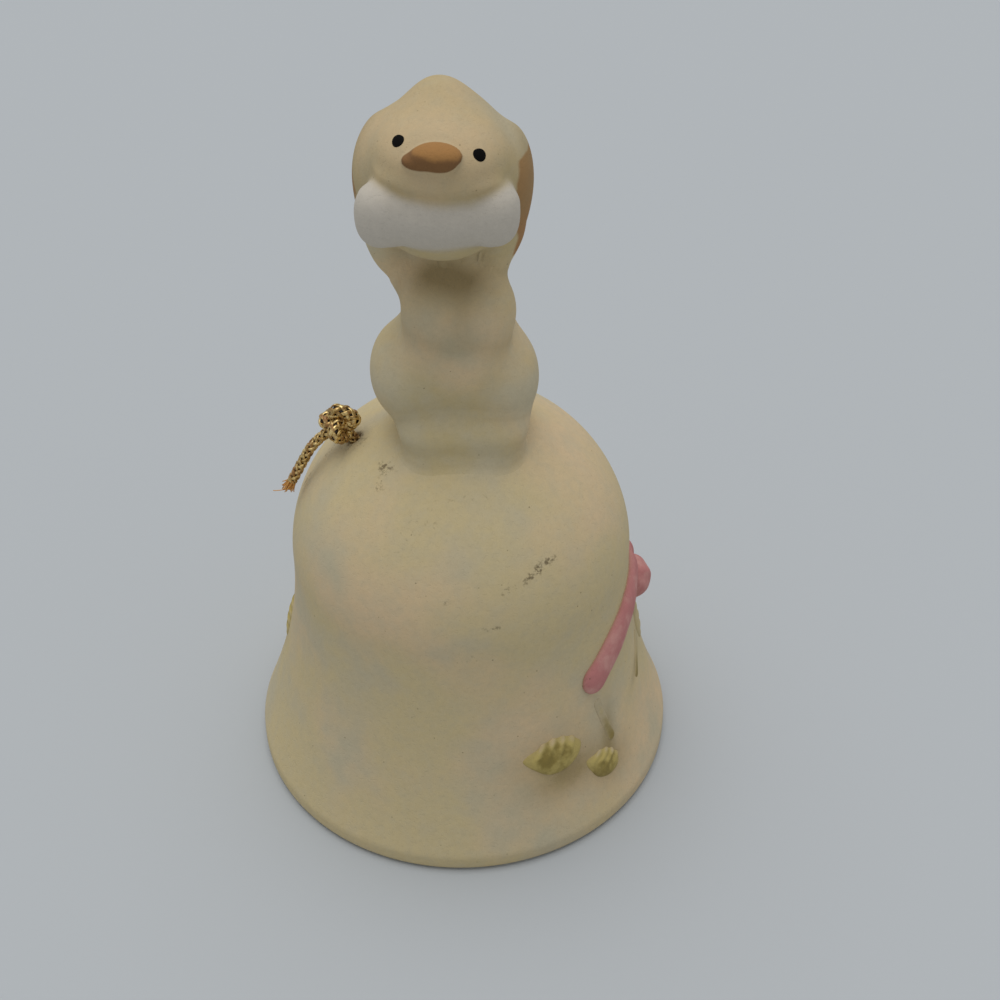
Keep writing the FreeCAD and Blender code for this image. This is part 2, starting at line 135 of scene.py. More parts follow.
# %% [markdown]
# ## Tools for materials
# A finish is a small chain of nodes. Writing each node out takes five lines, so two helpers add a node with
# its inputs and make a group with named sockets. Effects that several finishes share become groups, built
# once: the clay's grain, the uneven colour of the firing, dirt specks and smudges that also carry painted
# shade, and the ragged edge of paint.


# %% Node helpers
def node(tree, kind, settings=None, **inputs):
    """Adds a node. Inputs are given by socket name, underscores for spaces, as a value or a socket to link."""
    made = tree.nodes.new("ShaderNode" + kind)
    for name, value in (settings or {}).items():
        setattr(made, name, value)
    for name, value in inputs.items():
        key = int(name[1:]) if name[0] == "_" else name.replace("_", " ")
        socket = made.inputs[key]
        if isinstance(value, bpy.types.NodeSocket):
            tree.links.new(value, socket)
        else:
            socket.default_value = value
    return made


def maths(tree, operation, a, b=0.0, clamp=False):
    """One sum on two values; returns its output socket."""
    return node(tree, "Math", {"operation": operation, "use_clamp": clamp}, _0=a, _1=b).outputs[0]


def mixed(tree, share, a, b, blend="MIX"):
    """Two colours mixed by a share; returns the colour socket."""
    made = node(tree, "Mix", {"data_type": "RGBA", "blend_type": blend}, _0=share, _6=a, _7=b)
    return made.outputs[2]


def noise(tree, place, scale, detail=2.0, roughness=0.5):
    """A noise of that many features a metre; returns its value socket, from 0 to 1."""
    return node(tree, "TexNoise", None, Vector=place, Scale=scale, Detail=detail,
                Roughness=roughness).outputs["Fac"]


def stepped(tree, value, low, high):
    """0 below low, 1 above high and smooth between."""
    made = node(tree, "MapRange", {"interpolation_type": "SMOOTHSTEP"}, Value=value, _1=low, _2=high)
    return made.outputs[0]


def object_place(tree):
    """Object coordinates: a pattern stays where it is on the piece."""
    return node(tree, "TexCoord").outputs["Object"]


def new_group(name, inputs, outputs):
    """A node group with named sockets. Inputs are name: default, outputs name: kind."""
    tree = bpy.data.node_groups.new(name, "ShaderNodeTree")
    for label, value in inputs.items():
        kind = "NodeSocketColor" if isinstance(value, tuple) else "NodeSocketFloat"
        tree.interface.new_socket(name=label, in_out="INPUT", socket_type=kind).default_value = value
    for label, kind in outputs.items():
        tree.interface.new_socket(name=label, in_out="OUTPUT", socket_type="NodeSocket" + kind)
    entry, end = tree.nodes.new("NodeGroupInput"), tree.nodes.new("NodeGroupOutput")
    return tree, entry.outputs, end.inputs


def use(tree, group, **inputs):
    """Places a group in a material with its own values; returns its outputs."""
    made = tree.nodes.new("ShaderNodeGroup")
    made.node_tree = group
    for name, value in inputs.items():
        socket = made.inputs[name.replace("_", " ")]
        if isinstance(value, bpy.types.NodeSocket):
            tree.links.new(value, socket)
        else:
            socket.default_value = value
    return made.outputs


# %% Clay grain
def clay_grain_group():
    """Fine sandy grain, pits and slow unevenness, as a height, and the grain alone as a tone."""
    tree, given, out = new_group("clay_grain", {"Grain": 1.0, "Pits": 1.0}, {"Height": "Float", "Tone": "Float"})
    place = object_place(tree)
    fine = noise(tree, place, 5200.0, 3.0, 0.65)
    coarse = noise(tree, place, 1150.0, 2.0, 0.5)
    slow = noise(tree, place, 210.0, 1.0, 0.5)
    pits = stepped(tree, noise(tree, place, 2300.0, 1.0, 0.5), 0.30, 0.40)
    grain = maths(tree, "MULTIPLY", maths(tree, "ADD", fine, coarse), given["Grain"])
    sunk = maths(tree, "MULTIPLY", pits, given["Pits"])
    height = maths(tree, "ADD", maths(tree, "ADD", grain, sunk), maths(tree, "MULTIPLY", slow, 2.5))
    tree.links.new(height, out["Height"])
    tree.links.new(maths(tree, "ADD", maths(tree, "MULTIPLY", fine, 0.6), maths(tree, "MULTIPLY", coarse, 0.4)),
                   out["Tone"])
    return tree


clay_grain = clay_grain_group()
print("clay_grain:", len(clay_grain.nodes), "nodes")


# %% Fired colour
def fired_colour_group():
    """The body colour, drifting to a warmer and a greyer one over centimetres and mottled over millimetres."""
    tree, given, out = new_group(
        "fired_colour",
        {"Body": (0.5, 0.5, 0.5, 1.0), "Warm": (0.5, 0.4, 0.3, 1.0), "Grey": (0.4, 0.4, 0.4, 1.0), "Amount": 0.5},
        {"Color": "Color"})
    place = object_place(tree)
    drift = stepped(tree, noise(tree, place, 45.0, 2.0, 0.5), 0.42, 0.68)
    dull = stepped(tree, noise(tree, place, 85.0, 3.0, 0.55), 0.45, 0.75)
    mottle = stepped(tree, noise(tree, place, 620.0, 4.0, 0.6), 0.35, 0.75)
    warm = mixed(tree, maths(tree, "MULTIPLY", drift, given["Amount"]), given["Body"], given["Warm"])
    grey = mixed(tree, maths(tree, "MULTIPLY", dull, given["Amount"]), warm, given["Grey"])
    speckled = mixed(tree, maths(tree, "MULTIPLY", mottle, maths(tree, "MULTIPLY", given["Amount"], 0.35)),
                     grey, given["Grey"])
    tree.links.new(speckled, out["Color"])
    return tree


fired_colour = fired_colour_group()
print("fired_colour:", len(fired_colour.nodes), "nodes")


# %% Dirt specks and painted shade
def dirt_and_shade_specks_group():
    """Tiny dark grains: spots of a cell pattern, kept where a cell's own random number is low enough, and as
    dark as another one says. The second input, from 0 to 1, lowers the threshold of a noise, whose peaks are
    scuffs; where that input carries painted shade, under the chin and below the knot, they are painted shade."""
    tree, given, out = new_group("dirt_and_shade_specks", {"Density": 0.004, "Smudge": 0.0}, {"Mask": "Float"})
    place = object_place(tree)
    cells = node(tree, "TexVoronoi", None, Vector=place, Scale=2300.0, Randomness=1.0)
    chances = node(tree, "SeparateColor", None, Color=cells.outputs["Color"])
    share = maths(tree, "ADD", given["Density"], maths(tree, "MULTIPLY", given["Smudge"], 0.10))
    kept = maths(tree, "LESS_THAN", chances.outputs[0], share)
    spot = stepped(tree, cells.outputs["Distance"], 0.34, 0.12)
    specks = maths(tree, "MULTIPLY", maths(tree, "MULTIPLY", spot, kept), chances.outputs[1])
    raised = maths(tree, "ADD", noise(tree, place, 1500.0, 4.0, 0.72),
                   maths(tree, "MULTIPLY", given["Smudge"], 0.24))
    # Where the second input carries painted shade, these marks are painted shade as well.
    mark = stepped(tree, raised, 0.64, 0.79)
    smear = maths(tree, "MULTIPLY", mark, given["Smudge"], clamp=True)
    tree.links.new(maths(tree, "MAXIMUM", specks, smear), out["Mask"])
    return tree


dirt_and_shade_specks = dirt_and_shade_specks_group()
print("dirt_and_shade_specks:", len(dirt_and_shade_specks.nodes), "nodes")


# %% Paint edge
def paint_edge_group():
    """Turns a distance into the paint, in millimetres, into a mask with a soft and slightly ragged edge."""
    tree, given, out = new_group("paint_edge", {"Distance": 0.0, "Softness": 0.5, "Ragged": 0.3},
                                 {"Mask": "Float"})
    place = object_place(tree)
    wobble = maths(tree, "SUBTRACT", noise(tree, place, 520.0, 4.0, 0.6), 0.5)
    moved = maths(tree, "ADD", given["Distance"], maths(tree, "MULTIPLY", wobble, given["Ragged"]))
    soft = maths(tree, "DIVIDE", moved, given["Softness"])
    tree.links.new(stepped(tree, soft, -0.5, 0.5), out["Mask"])
    return tree


paint_edge = paint_edge_group()
print("paint_edge:", len(paint_edge.nodes), "nodes")

# %% [markdown]
# ## The finishes
# Bisque is matt and slightly sandy. Its paints are thin and matt too, so they let the clay's mottling show.
# One material with image maps could hold everything, but a map needs an unwrapping and a painter. Here each
# mesh carries soft distances to its painted areas as attributes, and the finish turns them into paint.

# %% Finishes
bisque_body = (0.568, 0.460, 0.252, 1.0)
figure_body = (0.512, 0.412, 0.214, 1.0)
bisque_warm = (0.640, 0.480, 0.285, 1.0)
bisque_grey = (0.500, 0.435, 0.290, 1.0)
# Brown of the creases: dirt and pigment stains, and painted shade in the slip fillets, under the chin and over the
# head.
crease_shade_and_stain_brown = (0.300, 0.222, 0.105, 1.0)
# Brown of dirt specks and smudges, which also paints the knot's shadow and the shade under the chin.
dirt_and_shade_brown = (0.105, 0.072, 0.032, 1.0)
paints = {                       # attribute: colour, thinner colour, softness and raggedness of the edge in mm
    "ear_paint": ((0.360, 0.185, 0.065, 1.0), (0.480, 0.270, 0.110, 1.0), 0.35, 0.5),
    "bone_paint": ((0.540, 0.490, 0.410, 1.0), (0.590, 0.530, 0.430, 1.0), 1.8, 0.6),
    # On the nose the thinner colour is lighter, and the tone attribute puts it on the top: painted light.
    "nose_paint": ((0.190, 0.068, 0.016, 1.0), (0.380, 0.165, 0.040, 1.0), 0.5, 0.15),
    "ribbon_paint": ((0.485, 0.190, 0.175, 1.0), (0.570, 0.285, 0.245, 1.0), 0.4, 0.3),
    "leaf_paint": ((0.255, 0.190, 0.050, 1.0), (0.490, 0.385, 0.125, 1.0), 1.2, 0.9),
}


def bare_material(name):
    """A material with nothing but its surface shader, and the tree to build on."""
    made = bpy.data.materials.new(name)
    made.use_nodes = True
    return made, made.node_tree, made.node_tree.nodes["Principled BSDF"]


def mask_of(tree, name):
    """A mesh attribute as a value."""
    return node(tree, "Attribute", {"attribute_name": name}).outputs["Fac"]


def porcelain(name, layers=(), body=bisque_body, density=0.009):
    """Bisque under the paints that the piece's attributes place, with dirt and painted shade in its creases, and
    dirt, with some painted shade, on its skin.
    """
    made, tree, shader = bare_material(name)
    grain = use(tree, clay_grain)
    colour = use(tree, fired_colour, Body=body, Warm=bisque_warm, Grey=bisque_grey, Amount=1.0)["Color"]
    for layer in layers:
        paint, thin, softness, ragged = paints[layer]
        mask = use(tree, paint_edge, Distance=mask_of(tree, layer), Softness=softness, Ragged=ragged)["Mask"]
        # On the figure, tone makes the paint lighter towards the top of the nose: painted light. On sprigs it
        # follows the paint's thickness.
        streak = maths(tree, "ADD", noise(tree, object_place(tree), 340.0, 3.0, 0.6), mask_of(tree, "tone"))
        colour = mixed(tree, mask, colour, mixed(tree, stepped(tree, streak, 0.40, 0.72), paint, thin))
    # Creases turn brown: dirt, and painted shade in the fillets, under the chin and over the head.
    crease = maths(tree, "MULTIPLY", mask_of(tree, "crease"), 0.75, clamp=True)
    colour = mixed(tree, crease, colour, crease_shade_and_stain_brown)
    specks = use(tree, dirt_and_shade_specks, Density=density, Smudge=mask_of(tree, "smudge"))["Mask"]
    colour = mixed(tree, maths(tree, "MULTIPLY", specks, 0.8), colour, dirt_and_shade_brown)
    tone = maths(tree, "ADD", maths(tree, "MULTIPLY", grain["Tone"], 0.30), 0.85)
    bright = node(tree, "HueSaturation", None, Color=colour, Value=tone).outputs[0]
    tree.links.new(bright, shader.inputs["Base Color"])
    rough = maths(tree, "ADD", maths(tree, "MULTIPLY", grain["Tone"], 0.2), 0.72)
    tree.links.new(rough, shader.inputs["Roughness"])
    shader.inputs["Specular IOR Level"].default_value = 0.25
    bump = node(tree, "Bump", None, Height=grain["Height"], Strength=0.35, Distance=0.00006)
    tree.links.new(bump.outputs[0], shader.inputs["Normal"])
    return made


finishes = {
    "bisque": porcelain("bisque", ("leaf_paint",)),
    "head_bisque": porcelain("head_bisque", ("ear_paint", "bone_paint", "nose_paint"), body=figure_body),
    "sprig_ribbon": porcelain("sprig_ribbon", ("ribbon_paint",), density=0.002),
    "sprig_leaf": porcelain("sprig_leaf", ("leaf_paint",), density=0.002),
    "bead_bisque": porcelain("bead_bisque", (), body=(0.66, 0.585, 0.42, 1.0), density=0.001),
}
print("finishes:", sorted(finishes))

# %% [markdown]
# ## Tools for surfaces
# Every new piece is a surface worked out from formulas: a grid of two parameters, closed into a skin. Sculpting
# by hand would be quicker for one piece, but a formula can be read, changed and run again.


# %% Grids and meshes
def grid_faces(rows, columns, wrap_rows=False, wrap_columns=True):
    """Quads between the neighbours of a grid that is numbered row by row, closed round where it wraps."""
    row, column = np.meshgrid(np.arange(rows if wrap_rows else rows - 1),
                              np.arange(columns if wrap_columns else columns - 1), indexing="ij")
    next_row, next_column = (row + 1) % rows, (column + 1) % columns
    corners = [row * columns + column, row * columns + next_column,
               next_row * columns + next_column, next_row * columns + column]
    return np.stack(corners, -1).reshape(-1, 4)


def capped_faces(rings, around):
    """A grid of rings closed by a point at each end: point 0, the rings in order, then the last point."""
    quads = grid_faces(rings, around) + 1
    step = np.arange(around)
    first = np.stack([np.zeros(around, int), 1 + (step + 1) % around, 1 + step], -1)
    last_ring, last = 1 + (rings - 1) * around, 1 + rings * around
    end = np.stack([np.full(around, last), last_ring + step, last_ring + (step + 1) % around], -1)
    return quads, np.vstack([first, end])


def pole_to_pole(grid):
    """The values of a grid in the order of capped_faces: one for a pole, the rings, one for the other pole."""
    return np.concatenate([grid[:1, 0], grid[1:-1].reshape(-1, *grid.shape[2:]), grid[-1:, 0]])


def lengths_along(points):
    """The length of a line up to each of its points."""
    return np.concatenate([[0], np.cumsum(np.linalg.norm(np.diff(points, axis=0), axis=1))])


def enclosed(points, quads, triangles):
    """The volume inside: a sixth of the sum of each triangle's corners' box product, negative if inside out."""
    every = np.vstack([quads[:, [0, 1, 2]], quads[:, [0, 2, 3]], triangles])
    a, b, c = points[every[:, 0]], points[every[:, 1]], points[every[:, 2]]
    return float(np.einsum("ij,ij->", a, np.cross(b, c)) / 6.0)


def mesh_object(name, points, quads, triangles=np.zeros((0, 3), int), masks=None, normals=None):
    """Makes a smooth mesh object from points in millimetres, with faces turned outwards. Normals that are given
    take the place of those worked out from the faces."""
    volume = enclosed(points, quads, triangles)
    if volume < 0:
        quads, triangles = quads[:, ::-1], triangles[:, ::-1]
    data = bpy.data.meshes.new(name)
    data.from_pydata((points * MM).tolist(), [], quads.tolist() + triangles.tolist())
    data.polygons.foreach_set("use_smooth", np.ones(len(data.polygons), bool))
    for mask, values in (masks or {}).items():
        data.attributes.new(mask, "FLOAT", "POINT").data.foreach_set("value", values.astype(np.float32))
    if normals is not None:
        data.normals_split_custom_set_from_vertices(normals.tolist())
    made = bpy.data.objects.new(name, data)
    bpy.context.scene.collection.objects.link(made)
    print(f"{name}: {len(data.vertices)} points, {abs(volume):.1f} cubic mm")
    return made


def finished(made, node_name, finish, body="bell"):
    """Gives a piece its finish, lets it ride on its body and puts it in the place of its CAD solid."""
    made.data.materials.append(finish)
    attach(made, body)
    if node_name:
        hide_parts(node_name)


# %% [markdown]
# ## Solids as distances
# Slip, the liquid clay that sticks the pieces together, fills every corner between them with a small fillet.
# Fillets between free forms are hard to draw as outlines but easy as distances: each form is a function that
# gives the distance to it, below zero inside, and two such distances melt into one another smoothly.


# %% Distances
def unit(vectors):
    """The vectors, each of length one."""
    return vectors / np.linalg.norm(vectors, axis=-1, keepdims=True)


def from_ellipsoid(points, centre, radii):
    """Distance to an ellipsoid: the length of the point scaled by the radii, less one, over its slope."""
    local = points - np.asarray(centre)
    scaled = np.linalg.norm(local / radii, axis=-1)
    slope = np.linalg.norm(local / np.square(radii), axis=-1)
    return scaled * (scaled - 1.0) / np.maximum(slope, 1e-6)


def from_box(points, centre, half, rounding):
    """Distance to a box with rounded edges: outside, the length of what exceeds the half sizes."""
    over = np.abs(points - np.asarray(centre)) - (np.asarray(half) - rounding)
    return np.linalg.norm(np.maximum(over, 0), axis=-1) + np.minimum(over.max(axis=-1), 0) - rounding


def from_rod(points, start, end, radius):
    """Distance to a round-ended rod: the distance to the nearest point of its axis, less its radius."""
    start, end = np.asarray(start, float), np.asarray(end, float)
    along = end - start
    share = np.clip((points - start) @ along / (along @ along), 0, 1)
    return np.linalg.norm(points - start - share[..., None] * along, axis=-1) - radius


def melted(a, b, reach):
    """The smaller of two distances, rounded off where they differ by less than reach."""
    near = np.maximum(reach - np.abs(a - b), 0.0) / reach
    return np.minimum(a, b) - near * near * reach / 4.0


def eased(share):
    """0 below 0, 1 above 1, and a smooth step between."""
    share = np.clip(share, 0.0, 1.0)
    return share * share * (3.0 - 2.0 * share)


def turned_by(degrees, axis):
    """A rotation matrix about a main axis, 0 for X to 2 for Z, that multiplies column vectors."""
    angle = math.radians(degrees)
    matrix = np.eye(3)
    i, j = (axis + 1) % 3, (axis + 2) % 3
    matrix[i, i] = matrix[j, j] = math.cos(angle)
    matrix[i, j], matrix[j, i] = -math.sin(angle), math.sin(angle)
    return matrix


# %% [markdown]
# ## The bell's form
# The bell is turned, so one outline says it all: a quarter of an ellipse for the shoulder, a curve of three
# poles for the flare and a short upright lip. A slip cast is never quite round, so its radius wavers a little.

# %% The bell's outline
mouth_radius, _, crown_height = box_mm("bell_shell")[1]
waist_radius = 24.6
waist_height = 37.0
flare_pull = 16.0
lip_height = 2.7
wall = 2.6
waver = 0.11                     # how far the cast strays from round


def flare_share(height):
    """The flare curve's parameter at a height, from 0 at the waist to 1 at the lip: a quadratic, solved."""
    drop = waist_height - lip_height
    a, b = drop - 2.0 * flare_pull, 2.0 * flare_pull
    c = np.clip(height, lip_height, waist_height) - waist_height
    return (-b + np.sqrt(b * b - 4.0 * a * c)) / (2.0 * a)


def cast_waver(azimuth, height):
    """A few slow waves round and down the bell, fading towards the rim and the crown."""
    waves = (np.sin(2 * azimuth + 0.6) + 0.6 * np.sin(3 * azimuth + height / 9.0)
             + 0.4 * np.sin(5 * azimuth - height / 6.0 + 1.0))
    return waver * waves * eased(height / 8.0) * eased((crown_height - height) / 10.0)


def bell_radius(azimuth, height):
    """Outside radius: ellipse above the waist, flare below, upright at the lip, and the cast's waver."""
    share = np.clip((height - waist_height) / (crown_height - waist_height), 0, 1)
    shoulder = waist_radius * np.sqrt(1.0 - share * share)
    flare = waist_radius + (mouth_radius - waist_radius) * flare_share(height) ** 2
    return np.where(height > waist_height, shoulder, flare) + cast_waver(azimuth, height)


def azimuth_of(points):
    """Angle round the axis, 0 at the front and growing towards +X."""
    return np.arctan2(points[..., 0], -points[..., 1])


def from_bell(points):
    """Distance to the bell as if it were solid: to an ellipsoid above the waist, to the wall's slope below."""
    azimuth, height = azimuth_of(points), points[..., 2]
    rise = crown_height - waist_height
    above = from_ellipsoid(points, (0, 0, waist_height), np.array([waist_radius, waist_radius, rise]))
    step = 0.05
    slope = (bell_radius(azimuth, height + step) - bell_radius(azimuth, height - step)) / (2 * step)
    reach = np.hypot(points[..., 0], points[..., 1])
    beside = (reach - bell_radius(azimuth, height)) / np.hypot(1.0, slope)
    return np.where(height > waist_height, above - cast_waver(azimuth, height), beside)


def on_bell(azimuth_degrees, height, lift=0.0):
    """A point on the outside of the bell, lifted off it along its normal."""
    azimuth, step = np.radians(azimuth_degrees), 0.05
    slope = (bell_radius(azimuth, height + step) - bell_radius(azimuth, height - step)) / (2 * step)
    out = lift / np.hypot(1.0, slope)
    reach = bell_radius(azimuth, height) + out
    return np.stack([reach * np.sin(azimuth), -reach * np.cos(azimuth), height - slope * out], -1)


print(f"bell: mouth {2 * mouth_radius:.1f} mm across, crown at {crown_height:.1f} mm")

# %% [markdown]
# ## The puppy's form
# The figure is a pear of a body on a block of hind feet, held-up forelegs, and a wide head whose crown rises
# to a soft point. It is a family of ellipsoids, melted together; the numbers repeat the construction's.

# %% The puppy's distances
body_parts = (                   # radii, and centre above the crown
    ((7.6, 7.2, 12.5), (0.2, 0.8, 11.5)),
    ((6.0, 6.2, 9.5), (-0.2, 0.2, 20.5)),
    ((6.6, 6.8, 8.5), (0.4, -1.2, 9.0)),
    ((5.0, 7.4, 6.6), (5.9, -1.0, 6.6)),
    ((5.0, 7.4, 6.6), (-6.6, -1.0, 7.8)),
    ((3.4, 3.6, 8.5), (2.7, -4.6, 11.8)),
    ((3.4, 3.6, 8.5), (-3.0, -4.6, 11.8)),
)
feet_size = (16.6, 8.2, 10.2)
feet_centre = (0.6, -5.7, -0.4)
feet_rounding = 3.9
feet_taper = 0.034               # how much wider the block grows with each mm of height
foreleg_radii = (4.5, 4.4, 5.5)
foreleg_centres = {"left": (3.1, -4.0, 18.8), "right": (-1.8, -4.0, 19.2)}
tail_points = ((0.0, 5.0, -0.4), (3.2, 9.4, -1.6), (8.2, 9.8, -2.6))
tail_radius = 1.8
head_centre = np.array([-1.0, -0.6, 37.4])
head_tilt = turned_by(-5.0, 2) @ turned_by(2.5, 1)
skull = ((9.2, 8.8, 9.0), (-0.4, 0.0, -1.4))
head_bumps = {                   # radii, centre from the head's centre, and how far it melts into the skull
    "crown": ((4.6, 5.0, 5.6), (-0.2, 0.5, 4.1), 3.5),
    "tip": ((2.2, 2.4, 2.2), (-1.0, 0.4, 8.0), 2.8),
    "cheeks": ((9.3, 6.8, 7.8), (0.0, -0.4, -2.6), 3.0),
    "face": ((8.9, 7.0, 6.6), (-0.2, -2.3, 1.0), 4.0),
    "muzzle": ((6.5, 5.2, 3.8), (-0.1, -6.6, 4.0), 4.0),
    "lip": ((7.2, 3.6, 1.7), (-0.1, -8.1, 2.5), 1.0),
    "chin": ((5.8, 4.4, 3.6), (0.0, -5.6, -5.6), 2.5),
}
ear_radii = {1: (3.3, 5.6, 9.1), -1: (3.3, 5.6, 9.9)}
ear_centres = {1: (7.3, 0.9, -4.6), -1: (-7.2, 0.9, -5.4)}
ear_lean = 3.0
ear_tips = {1: ((6.8, 0.9, -9.0), (6.2, 0.9, -10.8)), -1: ((-7.0, 0.9, -10.3), (-4.6, 0.9, -15.8))}
ear_tip_radius = 2.2
nose_parts = (                   # radii and centre from the head's centre
    ((2.85, 1.8, 1.35), (-0.1, -11.1, 6.65)),
    ((2.0, 1.2, 0.85), (-2.1, -11.0, 5.75)),
    ((1.2, 0.9, 0.7), (0.5, -11.7, 5.95)),
)
bone_half = 6.75                 # from the middle to each pair of knobs
bone_shaft = (8.2, 3.5, 4.3)
bone_knob_radius = 2.9
bone_knob_spread = 1.2
bone_centre = np.array([-0.1, -8.6, -2.1])
bone_tilt = turned_by(5.0, 2) @ turned_by(-2.0, 1)
above_crown = np.array([0.0, 0.0, crown_height])


def in_head(points):
    """Points seen from the head's centre, with its turn and roll undone."""
    return (points - above_crown - head_centre) @ head_tilt


def from_head_place(local):
    """Points given in the head's own frame, put back in place."""
    return np.asarray(local) @ head_tilt.T + head_centre + above_crown


def from_body(points):
    """The pear of the body: its ellipsoids melted together."""
    local = points - above_crown
    distance = from_ellipsoid(local, body_parts[0][1], np.array(body_parts[0][0]))
    for radii, centre in body_parts[1:]:
        distance = melted(distance, from_ellipsoid(local, centre, np.array(radii)), 2.2)
    return distance


def from_feet(points):
    """The block of the hind feet: well rounded, and narrower towards the crown."""
    local = points - above_crown - feet_centre
    width = 1.0 + feet_taper * np.clip(local[..., 2], -5.0, 5.0)
    local = np.stack([local[..., 0] / width, local[..., 1], local[..., 2]], -1)
    return from_box(local, (0, 0, 0), np.array(feet_size) / 2, feet_rounding)


def from_foreleg(side):
    """A held-up foreleg, as one egg."""
    centre = np.array(foreleg_centres[side]) + above_crown
    return lambda points: from_ellipsoid(points, centre, np.array(foreleg_radii))


def from_tail(points):
    """The curled tail: two rods melted at the bend."""
    root, bend, tip = (np.array(place) + above_crown for place in tail_points)
    return melted(from_rod(points, root, bend, tail_radius), from_rod(points, bend, tip, tail_radius), 1.5)


def from_head(points):
    """The skull with its crown, muzzle and chin."""
    local = in_head(points)
    distance = from_ellipsoid(local, skull[1], np.array(skull[0]))
    for radii, centre, reach in head_bumps.values():
        distance = melted(distance, from_ellipsoid(local, centre, np.array(radii)), reach)
    return distance


def from_ear(side):
    """A hanging ear: a flat egg, leaning in, with a tip that runs in towards the neck."""
    lean = turned_by(side * ear_lean, 1)
    centre, radii = np.array(ear_centres[side]), np.array(ear_radii[side])

    def distance(points):
        local = in_head(points)
        egg = from_ellipsoid((local - centre) @ lean, (0, 0, 0), radii)
        return melted(egg, from_rod(local, *ear_tips[side], ear_tip_radius), 2.5)

    return distance


def from_nose(points):
    """The nose: a bean with a pointed corner and a small cusp below."""
    local = in_head(points)
    distance = from_ellipsoid(local, nose_parts[0][1], np.array(nose_parts[0][0]))
    for radii, centre in nose_parts[1:]:
        distance = melted(distance, from_ellipsoid(local, centre, np.array(radii)), 0.9)
    return distance


def from_bone(points):
    """The bone: a long shaft melted into two knobs at each end."""
    local = (in_head(points) - bone_centre) @ bone_tilt
    distance = from_ellipsoid(local, (0, 0, 0), np.array(bone_shaft))
    for side in (-1, 1):
        for rise in (-bone_knob_spread, bone_knob_spread):
            knob = np.linalg.norm(local - (side * bone_half, 0, rise), axis=-1) - bone_knob_radius
            distance = melted(distance, knob, 1.6)
    return distance


def slope_of(field, points, step=0.05):
    """The direction in which a field grows fastest: its change over a small step along each axis."""
    axes = np.eye(3) * step
    return unit(np.stack([field(points + axis) - field(points - axis) for axis in axes], -1))


figure = {                       # piece: its own distance, and how far slip melts it into the rest
    "puppy_body": (from_body, 3.0),
    "puppy_head": (from_head, 2.6),
    "hind_feet": (from_feet, 1.9),
    "foreleg_left": (from_foreleg("left"), 2.6),
    "foreleg_right": (from_foreleg("right"), 3.6),
    "ear_left": (from_ear(1), 2.4),
    "ear_right": (from_ear(-1), 3.0),
    "bone": (from_bone, 1.0),
    "nose": (from_nose, 0.7),
    "puppy_tail": (from_tail, 1.2),
}
foot_reach = 1.1                 # how far slip spreads from the figure over the bell's crown


def from_figure(points):
    """The whole figure on the bell, melted piece by piece. Also gives how much the slip adds at each point."""
    distance = nearest = from_bell(points)
    for index, (own, reach) in enumerate(figure.values()):
        one = own(points)
        distance = melted(distance, one, foot_reach if index == 0 else reach)
        nearest = np.minimum(nearest, one)
    return distance, nearest - distance


print("figure:", ", ".join(figure))

# %% [markdown]
# ## Casting a piece
# A cast figure has one continuous skin, but its pieces have to stay apart. So each piece gets the skin of the
# whole figure as far as the slip spreads from it, and there its edge dives under the neighbour's skin. To find
# the skin, rays are sent out from inside the piece, and the first crossing of distance zero is halved down.


# %% Rays
def directions(rings, around, pole):
    """Unit vectors over a sphere whose poles lie along a direction: pole, rings, other pole."""
    down, turn = np.meshgrid(np.linspace(0, np.pi, rings + 2)[1:-1],
                             np.linspace(0, 2 * np.pi, around, endpoint=False), indexing="ij")
    ring = np.stack([np.sin(down) * np.cos(turn), np.sin(down) * np.sin(turn), np.cos(down)], -1)
    every = np.vstack([[[0, 0, 1]], ring.reshape(-1, 3), [[0, 0, -1]]])
    pole = np.asarray(pole, float) / np.linalg.norm(pole)
    side = np.cross(pole, [0.0, 1.0, 0.0] if abs(pole[1]) < 0.9 else [1.0, 0.0, 0.0])
    side /= np.linalg.norm(side)
    return every @ np.array([side, np.cross(pole, side), pole])


def cast_out(field, limit, centre, ways, samples=26, halvings=13):
    """How far each ray gets before the field turns positive. A cheap limit field bounds each ray first;
    then the first sample outside is found between the centre and that bound, and halved down."""
    low, high = np.zeros(len(ways)), np.full(len(ways), 30.0)
    for _ in range(20):
        middle = (low + high) / 2
        out = limit(centre + ways * middle[:, None]) > 0
        low, high = np.where(out, low, middle), np.where(out, middle, high)
    bound = high
    shares = np.linspace(0.0, 1.0, samples)
    outside = np.stack([field(centre + ways * (bound * share)[:, None]) > 0 for share in shares])
    outside[-1] = True
    first = np.maximum(np.argmax(outside, axis=0), 1)
    low, high = bound * shares[first - 1], bound * shares[first]
    for _ in range(halvings):
        middle = (low + high) / 2
        out = field(centre + ways * middle[:, None]) > 0
        low, high = np.where(out, low, middle), np.where(out, middle, high)
    return low


slip_under = 0.35                # how deep a piece's edge dives under its neighbour
skin_step = 0.012                # between the skins of two pieces, so that no two faces coincide
wall_sink = 1.0                  # how deep a root goes into the bell's wall


def own_skin(name):
    """The field of one piece: the figure's skin, cut off where the slip of this piece ends."""
    own, reach = figure[name]
    order = list(figure).index(name)

    def field(points):
        near = own(points)
        dive = slip_under * eased((near / reach - 0.58) / 0.40)
        skin = from_figure(points)[0] + skin_step * order + dive
        return np.maximum(np.maximum(skin, near - reach), -from_bell(points) - wall_sink)

    return field


